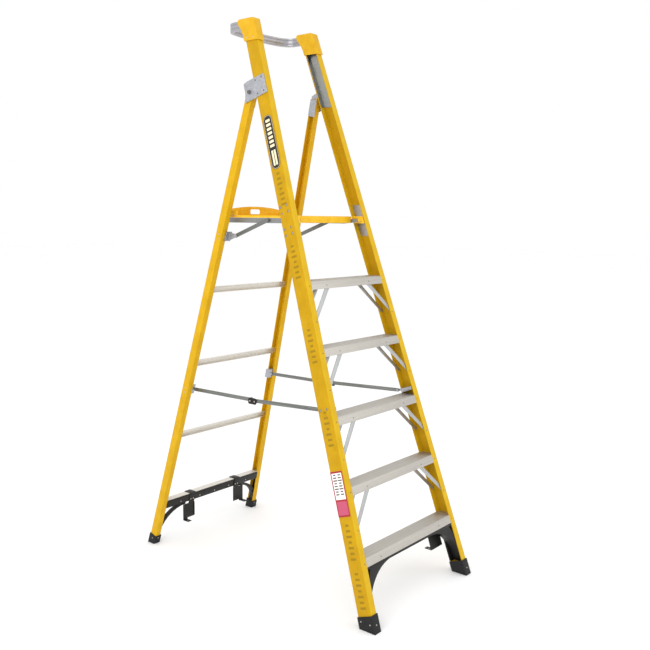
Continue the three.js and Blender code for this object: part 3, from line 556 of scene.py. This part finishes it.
def softened(
    node: str, finish: Finish, width: float, body: str, crease: float = 32.0
) -> bpy.types.Object:
    """Makes a copy of a CAD node with rounded edges, and puts it in the node's place.

    Args:
        node: the CAD node.
        finish: the finish of the copy.
        width: the rounding's width in millimetres.
        body: the body that it rides on.
        crease: faces that turn by more than this many degrees keep a crease.

    Returns:
        The new piece.
    """
    bm = bmesh.new()
    bm.from_mesh(bpy.data.objects[node].data)
    bmesh.ops.remove_doubles(bm, verts=bm.verts, dist=1e-5)
    bmesh.ops.dissolve_limit(bm, angle_limit=math.radians(0.4), verts=bm.verts, edges=bm.edges)
    if width:
        sharp = [e for e in bm.edges if len(e.link_faces) == 2 and e.calc_face_angle(0.0) > SHARP]
        bmesh.ops.bevel(
            bm,
            geom=sharp,
            offset=width * MM,
            segments=2,
            profile=0.6,
            affect="EDGES",
            clamp_overlap=True,
        )
    mesh = bpy.data.meshes.new(f"{node}_finished")
    bm.to_mesh(mesh)
    bm.free()
    shade(mesh, crease)
    piece = new_object(f"{node}_finished", mesh, finish)
    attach(piece, body)
    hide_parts(node)
    return piece


def coated(
    piece: bpy.types.Object, finish: Finish, chosen: Callable[[bpy.types.MeshPolygon], bool]
) -> None:
    """Gives the chosen faces of a piece a second finish.

    Args:
        piece: the piece.
        finish: the second finish.
        chosen: says whether a face takes it.
    """
    piece.data.materials.append(finish.material())
    for face in piece.data.polygons:
        if chosen(face):
            face.material_index = 1


@dataclass(frozen=True)
class Spot:
    """Where a fastener sits and which way it faces."""

    place: Vector
    facing: Vector


@dataclass(frozen=True)
class Head:
    """A fastener's head: radius and height in millimetres."""

    radius: float
    height: float
    finish: Finish = RIVET_STEEL
    slot: str = "zinc_steel"


class FastenerTree:
    """A Geometry Nodes tree that sets a domed head on every point, facing the point's own way."""

    def __init__(self) -> None:
        """Builds the tree."""
        tree = bpy.data.node_groups.new("fastener_heads", "GeometryNodeTree")
        face = tree.interface.new_socket
        face("Points", in_out="INPUT", socket_type="NodeSocketGeometry")
        self.sockets = {
            "radius": face("Head Radius", in_out="INPUT", socket_type="NodeSocketFloat").identifier,
            "height": face("Head Height", in_out="INPUT", socket_type="NodeSocketFloat").identifier,
            "finish": face("Finish", in_out="INPUT", socket_type="NodeSocketMaterial").identifier,
        }
        face("Heads", in_out="OUTPUT", socket_type="NodeSocketGeometry")
        given = add_node(tree, "NodeGroupInput")
        ball = add_node(
            tree, "GeometryNodeMeshUVSphere", {"Segments": 14, "Rings": 8, "Radius": 1.0}
        )
        size = add_node(
            tree,
            "ShaderNodeCombineXYZ",
            {
                "X": given.outputs["Head Radius"],
                "Y": given.outputs["Head Radius"],
                "Z": given.outputs["Head Height"],
            },
        )
        dome = add_node(
            tree,
            "GeometryNodeTransform",
            {"Geometry": ball.outputs["Mesh"], "Scale": size.outputs[0]},
        )
        facing = add_node(
            tree, "GeometryNodeInputNamedAttribute", {"Name": "facing"}, data_type="FLOAT_VECTOR"
        )
        turn = add_node(
            tree,
            "FunctionNodeAlignRotationToVector",
            {"Vector": facing.outputs["Attribute"]},
            axis="Z",
        )
        points = add_node(tree, "GeometryNodeMeshToPoints", {"Mesh": given.outputs["Points"]})
        heads = add_node(
            tree,
            "GeometryNodeInstanceOnPoints",
            {
                "Points": points.outputs["Points"],
                "Instance": dome.outputs["Geometry"],
                "Rotation": turn.outputs["Rotation"],
            },
        )
        real = add_node(
            tree, "GeometryNodeRealizeInstances", {"Geometry": heads.outputs["Instances"]}
        )
        smooth = add_node(
            tree, "GeometryNodeSetShadeSmooth", {"Geometry": real.outputs["Geometry"]}
        )
        painted = add_node(
            tree,
            "GeometryNodeSetMaterial",
            {"Geometry": smooth.outputs["Geometry"], "Material": given.outputs["Finish"]},
        )
        add_node(tree, "NodeGroupOutput", {"Heads": painted.outputs["Geometry"]})
        self.tree = tree

    def set_heads(self, name: str, spots: list[Spot], head: Head, body: str) -> bpy.types.Object:
        """Sets one head on each spot.

        Args:
            name: the piece's name.
            spots: where the heads sit.
            head: their size and finish.
            body: the body that they ride on.

        Returns:
            One plain mesh object that holds all the heads.
        """
        mesh = bpy.data.meshes.new(f"{name}_points")
        mesh.from_pydata([tuple(spot.place) for spot in spots], [], [])
        facing = mesh.attributes.new("facing", "FLOAT_VECTOR", "POINT")
        for item, spot in zip(facing.data, spots):
            item.vector = spot.facing
        piece = bpy.data.objects.new(name, mesh)
        bpy.context.scene.collection.objects.link(piece)
        modifier = piece.modifiers.new("heads", "NODES")
        modifier.node_group = self.tree
        modifier[self.sockets["radius"]] = head.radius * MM
        modifier[self.sockets["height"]] = head.height * MM
        modifier[self.sockets["finish"]] = head.finish.material()
        bpy.context.view_layer.update()
        evaluated = piece.evaluated_get(bpy.context.evaluated_depsgraph_get())
        result = bpy.data.meshes.new_from_object(evaluated)
        piece.modifiers.remove(modifier)
        piece.data = result
        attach(piece, body)
        LOG.info("%s: %d heads", name, len(spots))
        return piece


@dataclass(frozen=True)
class Sheet:
    """A flat plane to lay labels on: an origin and two directions within it."""

    origin: Vector
    across: Vector
    up: Vector

    @property
    def out(self) -> Vector:
        """The plane's normal."""
        return self.across.cross(self.up).normalized()

    def at(self, u: float, v: float, proud: float = 0.0) -> Vector:
        """The place u millimetres across, v up and proud of the plane."""
        return self.origin + (self.across * u + self.up * v + self.out * proud) * MM


def rounded(
    width: float, height: float, radius: float, steps: int = 7
) -> list[tuple[float, float]]:
    """Corner points of a rounded rectangle about the origin, anticlockwise.

    Args:
        width: width in millimetres.
        height: height in millimetres.
        radius: corner radius in millimetres.
        steps: points in each corner.

    Returns:
        The outline.
    """
    points = []
    for quarter, (sx, sy) in enumerate(((1, 1), (-1, 1), (-1, -1), (1, -1))):
        for step in range(steps):
            angle = math.pi / 2 * (quarter + step / (steps - 1))
            points.append(
                (
                    sx * (width / 2 - radius) + radius * math.cos(angle),
                    sy * (height / 2 - radius) + radius * math.sin(angle),
                )
            )
    return points


def laid_sheet(
    name: str,
    sheet: Sheet,
    outlines: list[list[tuple[float, float]]],
    low: float,
    high: float,
    finish: Finish,
) -> bpy.types.Object:
    """Lays flat closed plates of given outlines on a sheet plane.

    Args:
        name: the piece's name.
        sheet: the plane.
        outlines: one outline for each plate, in millimetres, anticlockwise.
        low: underside above the plane, in millimetres.
        high: top above the plane, in millimetres.
        finish: the finish.

    Returns:
        The object.
    """
    bm = bmesh.new()
    for outline in outlines:
        under = [bm.verts.new(sheet.at(u, v, low)) for u, v in outline]
        over = [bm.verts.new(sheet.at(u, v, high)) for u, v in outline]
        bm.faces.new(over)
        bm.faces.new(list(reversed(under)))
        count = len(outline)
        for i in range(count):
            j = (i + 1) % count
            bm.faces.new((under[i], under[j], over[j], over[i]))
    mesh = bpy.data.meshes.new(name)
    bm.to_mesh(mesh)
    bm.free()
    return new_object(name, mesh, finish)


# ------------------------------------------------------------ sub-assemblies


@dataclass
class FrontFrame:
    """Stiles, caps, guard rail, treads, braces, boots and brackets of the climbing side."""

    post: Post
    heads: FastenerTree
    columns: tuple[float, float] = (0.021, 0.0625)
    row_drop: float = 0.0125
    rivet: Head = field(default_factory=lambda: Head(4.8, 1.4))
    # A dark pin in the middle of each rivet head, in the same dark brown.
    pin: Head = field(default_factory=lambda: Head(2.9, 2.3, SHADE_RING_AND_DARK_PIN))
    small: Head = field(default_factory=lambda: Head(3.2, 1.5))
    # A thin dark ring under each rivet head: painted shade round the rivet.
    shade_ring: Head = field(default_factory=lambda: Head(6.4, 0.6, SHADE_RING_AND_DARK_PIN))
    plate_rivet: Head = field(default_factory=lambda: Head(4.0, 1.8, DULL_STEEL))
    tread_rivet: Head = field(default_factory=lambda: Head(3.0, 1.0, DULL_STEEL))
    nose_inset: float = 0.009
    nose_low: float = 1.695
    # Faces turned further forward than this take the lighter yellow of painted light.
    facing: float = 0.8
    mount_rows_below: tuple[float, float] = (0.009, 0.037)
    mount_rows_above: tuple[float, float] = (0.046, 0.019)
    bracket_row: float = 0.006
    plate_rows: tuple[float, float] = (0.016, 0.05)
    cap_row: float = 0.014
    boot_row: float = 0.034
    boot_columns: tuple[float, float] = (0.014, 0.062)
    boot_front_row: float = 0.033
    boot_middle: float = 0.03
    tread_inset: float = 0.105
    tread_row: float = 0.022
    flange_inset: float = 0.014
    flange_row: float = 0.02
    brace_row: float = 0.012

    def dress(self) -> None:
        """Gives every piece its finish and rounds its edges."""
        body = "front_frame"
        for side in Side:
            end = side.node
            stile = softened(f"front_stile_{end}", STILE_GLASS, 1.2, body)
            # Forward-facing faces get the lighter yellow: painted light on the front flanges.
            coated(stile, STILE_FRONT_PAINTED_LIGHT, lambda face: face.normal.dot(self.post.ahead) > self.facing)
            softened(f"stile_liner_{end}", LINER_ALLOY, 0.5, body)
            softened(f"top_cap_{end}", CAP_PLASTIC, 1.6, body, 50)
            softened(f"front_boot_{end}", BLACK_RUBBER, 1.0, body)
            softened(f"hinge_plate_{end}", ZINC, 0.6, body)
            softened(f"hinge_bolt_{end}", DULL_STEEL, 0.6, body)
            self.capped_nose(softened(f"platform_mount_{end}", ZINC, 0.4, body))
            softened(f"spreader_front_bracket_{end}", ZINC, 0.4, body)
            for row in range(2, 6):
                softened(f"tread_brace_{row}_{end}", BRACE_ALLOY, 0.4, body)
        for row in range(1, 6):
            softened(f"tread_{row}", TREAD_ALLOY, 0.35, body)
        softened("guard_rail", RAIL_ALLOY, 1.0, body, 40)
        softened("front_foot_brace", BLACK_POWDER, 0.6, body)
        softened("front_hanger", BLACK_POWDER, 0.5, body)

    def capped_nose(self, mount: bpy.types.Object) -> None:
        """Covers the mount's nose, inboard of the stile's web, with the deck's yellow plastic.

        Args:
            mount: the platform mount, whose nose turns into the stile's channel.
        """
        def on_nose(face: bpy.types.MeshPolygon) -> bool:
            """True for a face of the nose that can be seen from above or from the front."""
            web = self.post.outer - self.post.taper * face.center.z
            inboard = abs(face.center.x) < web - self.nose_inset
            return inboard and face.center.z > self.nose_low and face.normal.z > -0.5

        coated(mount, DECK_PLASTIC_LIGHTENED, on_nose)

    def pair(self, side: Side, z: float, proud: float = 0.0) -> list[Spot]:
        """A rivet in each column of the outer face, the rear one lower to square the row."""
        places = [(self.columns[0], z), (self.columns[1], z - self.row_drop)]
        out = self.post.out(side)
        return [Spot(self.post.web(side, b, height, proud), out) for b, height in places]

    def fasten(self) -> None:
        """Rivets and screws of the front frame."""
        mount_low, mount_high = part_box("platform_mount_right")
        plate_low, plate_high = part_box("hinge_plate_right")
        cap_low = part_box("top_cap_right")[0]
        bracket_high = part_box("spreader_front_bracket_right")[1]
        plate = plate_high[0] - (self.post.outer - self.post.taper * plate_low[2])
        rows = [mount_high[2] - down for down in self.mount_rows_below]
        rows += [mount_low[2] + up for up in self.mount_rows_above]
        rows.append(bracket_high[2] - self.bracket_row)
        body = "front_frame"
        for side in Side:
            webs = [spot for z in rows for spot in self.pair(side, z)]
            self.heads.set_heads(f"stile_rivets_{side.node}", webs, self.rivet, body)
            # The dark rings are painted shade round each rivet head.
            self.heads.set_heads(f"stile_rivet_rings_{side.node}", webs, self.shade_ring, body)
            self.heads.set_heads(f"stile_rivet_pins_{side.node}", webs, self.pin, body)
            plates = self.pair(side, plate_high[2] - self.plate_rows[0], plate)
            plates += self.pair(side, plate_low[2] + self.plate_rows[1], plate)
            self.heads.set_heads(f"hinge_rivets_{side.node}", plates, self.plate_rivet, body)
            screw_z = cap_low[2] + self.cap_row
            screws = [
                Spot(self.post.web(side, b, screw_z, CAP_WALL), self.post.out(side))
                for b in self.columns
            ]
            self.heads.set_heads(f"cap_screws_{side.node}", screws, self.small, body)
            self.boot_rivets(side)
        self.tread_rivets()

    def boot_rivets(self, side: Side) -> None:
        """Two rivets through the side of a boot and one through its front."""
        spots = [
            Spot(self.post.web(side, b, self.boot_row, BOOT_WALL), self.post.out(side))
            for b in self.boot_columns
        ]
        x = side.value * (self.post.edge(self.boot_middle) + self.post.flange / 2)
        spots.append(Spot(self.post.face(x, self.boot_front_row, -BOOT_WALL), self.post.ahead))
        self.heads.set_heads(f"boot_rivets_{side.node}", spots, self.small, "front_frame")

    def tread_rivets(self) -> None:
        """Rivets along the front of the treads and where the braces meet the flanges."""
        spots: list[Spot] = []
        for row in range(1, 6):
            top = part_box(f"tread_{row}")[1][2]
            places = [
                (self.post.edge(top) - self.tread_inset, top - self.tread_row),
                (self.post.edge(top) + self.flange_inset, top - self.flange_row),
            ]
            if row > 1:
                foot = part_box(f"tread_brace_{row}_right")[0][2] + self.brace_row
                places.append((self.post.edge(foot) + self.flange_inset, foot))
            for side in Side:
                for x, z in places:
                    spots.append(Spot(self.post.face(side.value * x, z), self.post.ahead))
        self.heads.set_heads("tread_rivets", spots, self.tread_rivet, "front_frame")


@dataclass
class RearFrame:
    """Legs, rungs, bottom rail, its black brace and hangers."""

    post: Post
    heads: FastenerTree
    rivet: Head = field(default_factory=lambda: Head(3.8, 1.8))
    boot_rivet: Head = field(default_factory=lambda: Head(3.0, 1.4))
    rail_row: float = 0.031
    rail_columns: tuple[float, ...] = (-0.245, -0.109, 0, 0.109, 0.245)
    hanger_row: float = 0.004
    hanger_columns: tuple[float, float] = (0.010, 0.028)
    bracket_row: float = 0.012
    rung_column: float = 0.7
    boot_column: float = 0.02
    boot_row: float = 0.03
    sleeve_below: float = 0.004
    sleeve_length: float = 0.085

    def dress(self) -> None:
        """Gives every piece its finish and rounds its edges."""
        body = "rear_frame"
        for side in Side:
            end = side.node
            softened(f"rear_leg_{end}", LEG_GLASS, 1.1, body)
            softened(f"rear_boot_{end}", BLACK_RUBBER, 1.0, body)
            softened(f"rear_hanger_{end}", BLACK_POWDER, 0.5, body)
            softened(f"strut_bracket_{end}", ZINC, 0.5, body)
            softened(f"spreader_rear_bracket_{end}", ZINC, 0.4, body)
        for row in range(1, 4):
            softened(f"rear_rung_{row}", RUNG_ALLOY_LIGHTENED, 0.4, body)
        softened("rear_bottom_rail", RUNG_ALLOY_LIGHTENED, 0.5, body)
        self.sleeves()
        softened("rear_foot_brace", BLACK_POWDER, 0.5, body)

    def sleeves(self) -> None:
        """A bright plate over the open side of each leg at its top."""
        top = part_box("rear_leg_right")[1][2] - self.sleeve_below
        up = Vector((-self.post.taper, self.post.lean, 1.0)).normalized()
        for side in Side:
            inward = Vector((-side.value, 0.0, 0.0))
            leg_up = Vector((side.value * up.x, up.y, up.z))
            middle = top - self.sleeve_length / 2
            origin = self.post.web(side, self.post.depth / 2, middle, -self.post.flange)
            sheet = Sheet(origin, leg_up.cross(inward).normalized(), leg_up)
            outline = rounded(self.post.depth / MM - 1, self.sleeve_length / MM, 2, 3)
            piece = laid_sheet(f"leg_sleeve_{side.node}", sheet, [outline], 0.3, 2.0, ZINC)
            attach(piece, "rear_frame")

    def fasten(self) -> None:
        """Rivets of the rear frame."""
        body = "rear_frame"
        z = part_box("rear_bottom_rail")[1][2] - self.rail_row
        ahead = self.post.ahead
        spots = [Spot(self.post.face(x, z, -STRIP_FRONT), ahead) for x in self.rail_columns]
        self.heads.set_heads("rail_rivets", spots, self.rivet, body)
        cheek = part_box("strut_bracket_right")
        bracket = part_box("spreader_rear_bracket_right")
        rows = [
            height
            for low, high in (cheek, bracket)
            for height in (high[2] - self.bracket_row, low[2] + self.bracket_row)
        ]
        for side in Side:
            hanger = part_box(f"rear_hanger_{side.node}")
            strap = abs(hanger[0][0] if side is Side.RIGHT else hanger[1][0])
            columns = [side.value * (strap + inset) for inset in self.hanger_columns]
            spots = [
                Spot(self.post.face(x, z - self.hanger_row, -HANGER_FRONT), ahead) for x in columns
            ]
            self.heads.set_heads(f"hanger_rivets_{side.node}", spots, self.rivet, body)
            webs = [(self.post.depth / 2, height) for height in rows]
            for row in range(1, 4):
                low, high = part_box(f"rear_rung_{row}")
                webs.append((self.post.depth * self.rung_column, (low[2] + high[2]) / 2))
            out = self.post.out(side)
            spots = [Spot(self.post.web(side, behind, height), out) for behind, height in webs]
            self.heads.set_heads(f"leg_rivets_{side.node}", spots, self.rivet, body)
            x = side.value * (self.post.edge(self.boot_row) + self.post.flange / 2)
            boot = [
                Spot(self.post.web(side, self.boot_column, self.boot_row, BOOT_WALL), out),
                Spot(self.post.face(x, self.boot_row, -BOOT_WALL), ahead),
            ]
            self.heads.set_heads(f"rear_boot_rivets_{side.node}", boot, self.boot_rivet, body)


@dataclass
class Platform:
    """Deck, side rails, toe board and struts."""

    nosing: float = 0.038

    def dress(self) -> None:
        """Gives every piece its finish and rounds its edges."""
        softened("platform_deck", DECK_PLASTIC_LIGHTENED, 0.8, "platform")
        softened("toe_board", DECK_PLASTIC_LIGHTENED, 0.9, "platform")
        for side in Side:
            end = side.node
            rail = softened(f"platform_side_rail_{end}", SIDE_ALLOY, 0.4, "platform")
            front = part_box("platform_deck")[0][1]
            corners = rail.data.vertices
            coated(
                rail,
                DECK_PLASTIC_LIGHTENED,
                lambda face: max(corners[i].co.y for i in face.vertices) < front + self.nosing,
            )
            softened(f"platform_strut_{end}", STRUT_ALLOY, 0.5, f"strut_{end}")


@dataclass
class Spreaders:
    """The folding bars between the two frames."""

    heads: FastenerTree
    rivet: Head = field(default_factory=lambda: Head(4.0, 1.6))
    parts: tuple[float, float] = (0.22, 0.78)
    sunk: float = 0.0008

    def dress(self) -> None:
        """Gives every piece its finish, and sets the rivets of the joint blocks."""
        for side in Side:
            end = side.node
            front = f"spreader_front_{end}"
            rear = f"spreader_rear_{end}"
            softened(f"spreader_front_bar_{end}", BAR_ALLOY, 0.5, front)
            softened(f"spreader_rear_bar_{end}", BAR_ALLOY, 0.5, rear)
            softened(f"spreader_joint_{end}", BLACK_RUBBER, 0.8, front)
            low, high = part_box(f"spreader_joint_{end}")
            x = high[0] if side is Side.RIGHT else low[0]
            x -= side.value * self.sunk
            z = (low[2] + high[2]) / 2
            out = Vector((side.value, 0, 0))
            spots = [
                Spot(Vector((x, low[1] + part * (high[1] - low[1]), z)), out) for part in self.parts
            ]
            self.heads.set_heads(f"joint_rivets_{end}", spots, self.rivet, front)


INK = Finish("printed_vinyl_black", "#17140f", 0.38)
CREAM = Finish("printed_vinyl_cream", "#f1e3bd", 0.4)
WHITE = Finish("printed_vinyl_white", "#f4f0ee", 0.4)
RED = Finish("printed_vinyl_red", "#a3141f", 0.4)
ROSE = Finish("printed_vinyl_rose", "#c14c6c", 0.4)
GREY = Finish("printed_vinyl_grey", "#5f5854", 0.45)


@dataclass
class Labels:
    """Plate, notice and stencilled dashes on the left stile's outer face, without lettering."""

    post: Post
    plate_z: tuple[float, float] = (1.949, 2.194)
    plate_width: float = 55.0
    plate_layers: tuple[float, ...] = (0.05, 0.5, 0.56, 0.62, 0.68)
    notice_z: tuple[float, float] = (0.458, 0.645)
    notice_shift: float = -3.0
    notice_width: float = 66.0
    notice_border: float = 5.5
    notice_layers: tuple[float, ...] = (0.05, 0.3, 0.36, 0.42)
    paint: tuple[float, float] = (0.02, 0.08)
    stencil_z: tuple[float, ...] = (1.86, 1.535, 1.17, 0.82, 0.355, 0.16)
    stencil_pitch: float = 24.0
    dashes: tuple[float, ...] = (30, 24, 30, 18, 30, 24, 18)

    def sheet(self, z: float) -> Sheet:
        """The plane of the outer face, centred across the stile at a height."""
        up = Vector((self.post.taper, self.post.lean, 1.0)).normalized()
        out = self.post.out(Side.LEFT)
        across = up.cross(out).normalized()
        return Sheet(self.post.web(Side.LEFT, self.post.depth / 2, z), across, up)

    def add(
        self, name: str, sheet: Sheet, outlines: list, low: float, high: float, finish: Finish
    ) -> None:
        """Lays one printed layer and lets it ride on the front frame."""
        piece = laid_sheet(name, sheet, outlines, low, high, finish)
        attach(piece, "front_frame")

    def maker_plate(self) -> None:
        """A long black plate with a cream outline, seven short cream bars and two long ones."""
        low, high = self.plate_z
        sheet = self.sheet((low + high) / 2)
        length = (high - low) / math.cos(STILE_LEAN) / MM
        layers = (
            ("maker_plate", 0, INK),
            ("maker_plate_line", 5, CREAM),
            ("maker_plate_field", 8, INK),
        )
        for number, (name, inset, finish) in enumerate(layers):
            width = self.plate_width - inset
            outline = rounded(width, length - inset, width / 2)
            self.add(name, sheet, [outline], *self.plate_layers[number : number + 2], finish)
        bars = [[(x, y + 102 - 20 * row) for x, y in rounded(27, 12, 2, 3)] for row in range(7)]
        blocks = [[(x + u, y - 75) for x, y in rounded(11, 72, 2, 3)] for u in (-7.5, 7.5)]
        self.add("maker_plate_bars", sheet, bars + blocks, *self.plate_layers[3:], CREAM)

    def stencils(self) -> None:
        """Groups of plain painted dashes down the outer face of the left stile."""
        dashes = [rounded(wide, 10, 2, 3) for wide in self.dashes]
        for number, z in enumerate(self.stencil_z):
            marks = []
            for row, dash in enumerate(dashes):
                v = (row - (len(dashes) - 1) / 2) * self.stencil_pitch
                marks.append([(x, y + v) for x, y in dash])
            self.add(f"stencil_{number}", self.sheet(z), marks, *self.paint, STENCIL)

    def notice(self) -> None:
        """A white notice with a red border, two columns of plain grey bars and a rose panel."""
        low, high = self.notice_z
        sheet = self.sheet((low + high) / 2)
        sheet = Sheet(sheet.at(self.notice_shift, 0), sheet.across, sheet.up)
        length = (high - low) / math.cos(STILE_LEAN) / MM
        width = self.notice_width
        inner = width - 2 * self.notice_border
        edge = rounded(width, length, 3, 4)
        self.add("notice_border", sheet, [edge], *self.notice_layers[:2], RED)
        top = length / 2 - 4
        panel = [(u, v + length * 0.17) for u, v in rounded(inner, length * 0.58, 1.5, 3)]
        self.add("notice_field", sheet, [panel], *self.notice_layers[1:3], WHITE)
        foot = [(u, v - length * 0.31) for u, v in rounded(inner, length * 0.3, 1.5, 3)]
        self.add("notice_foot", sheet, [foot], *self.notice_layers[1:3], ROSE)
        bars = []
        for row in range(8):
            v = top - 12 - row * 12.0
            wide = 14 + 4 * (row % 3)
            for u in (-13, 13):
                bars.append([(x + u, y + v) for x, y in rounded(wide, 6, 0.8, 2)])
        self.add("notice_rows", sheet, bars, *self.notice_layers[2:], GREY)


# --------------------------------------------------------------------------------------- setting


@dataclass(frozen=True)
class Studio:
    """Pale floor, soft light and the camera."""

    eye: tuple[float, float, float] = (-3.0429, -2.6343, 1.7310)
    azimuth: float = -50.626
    pitch: float = 7.4454
    roll: float = 0.616
    lens: float = 45.37
    floor_drop: float = 0.0005
    aim_height: float = 1.2

    def build(self) -> None:
        """Makes the floor, the light and the camera."""
        self.floor()
        self.light()
        self.camera()

    def floor(self) -> None:
        """A wide floor of pale matt paint."""
        mesh = bpy.data.meshes.new("studio_floor")
        reach = 40.0
        mesh.from_pydata(
            [(-reach, -reach, 0), (reach, -reach, 0), (reach, reach, 0), (-reach, reach, 0)],
            [],
            [(0, 1, 2, 3)],
        )
        floor = new_object("studio_floor", mesh, Finish("matt_floor_paint", "#ffffff", 0.9))
        floor.location.z = -self.floor_drop

    def light(self) -> None:
        """White surroundings, a large key light on the left and a softer one on the right."""
        world = bpy.data.worlds.new("studio")
        world.use_nodes = True
        background = world.node_tree.nodes["Background"]
        background.inputs["Color"].default_value = (1, 1, 1, 1)
        background.inputs["Strength"].default_value = 1.0
        bpy.context.scene.world = world
        self.area("key_light", (-5.2, -1.0, 4.0), size=5.0, watts=135)
        self.area("side_light", (2.5, -5.0, 3.0), size=4.0, watts=40)
        bpy.context.scene.view_settings.view_transform = "Standard"

    def area(self, name: str, place: tuple[float, float, float], size: float, watts: float) -> None:
        """Adds a square soft light that faces the middle of the ladder."""
        data = bpy.data.lights.new(name, "AREA")
        data.size = size
        data.energy = watts
        lamp = bpy.data.objects.new(name, data)
        bpy.context.scene.collection.objects.link(lamp)
        lamp.location = place
        aim = Vector((0, 0, self.aim_height)) - Vector(place)
        lamp.rotation_euler = aim.to_track_quat("-Z", "Y").to_euler()

    def camera(self) -> None:
        """A camera that looks slightly down at the left side of the front."""
        data = bpy.data.cameras.new("camera")
        data.lens = self.lens
        data.sensor_width = 36.0
        data.clip_end = 200.0
        camera = bpy.data.objects.new("camera", data)
        bpy.context.scene.collection.objects.link(camera)
        turn = Matrix.Rotation(math.radians(self.azimuth), 4, "Z")
        tilt = Matrix.Rotation(math.radians(90 - self.pitch), 4, "X")
        twist = Matrix.Rotation(math.radians(self.roll), 4, "Z")
        camera.matrix_world = Matrix.Translation(self.eye) @ turn @ tilt @ twist
        bpy.context.scene.camera = camera


def main() -> None:
    """Builds the ladder's visual model in order."""
    logging.basicConfig(level=logging.INFO, format="%(name)s: %(message)s")
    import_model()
    stile = Post.measure("front_stile_right", STILE_FLANGE, STILE_DEPTH, True)
    leg = Post.measure("rear_leg_right", LEG_FLANGE, LEG_DEPTH, False)
    labels = Labels(stile)
    heads = FastenerTree()
    front = FrontFrame(stile, heads)
    rear = RearFrame(leg, heads)
    steps: list[tuple[str, Callable[[], None]]] = [
        ("front frame", front.dress),
        ("front fasteners", front.fasten),
        ("rear frame", rear.dress),
        ("rear fasteners", rear.fasten),
        ("platform", Platform().dress),
        ("spreaders", Spreaders(heads).dress),
        ("maker's plate", labels.maker_plate),
        ("notice", labels.notice),
        ("stencils", labels.stencils),
        ("studio", Studio().build),
    ]
    for name, step in steps:
        step()
        LOG.info("%s done", name)


if __name__ == "__main__":
    main()
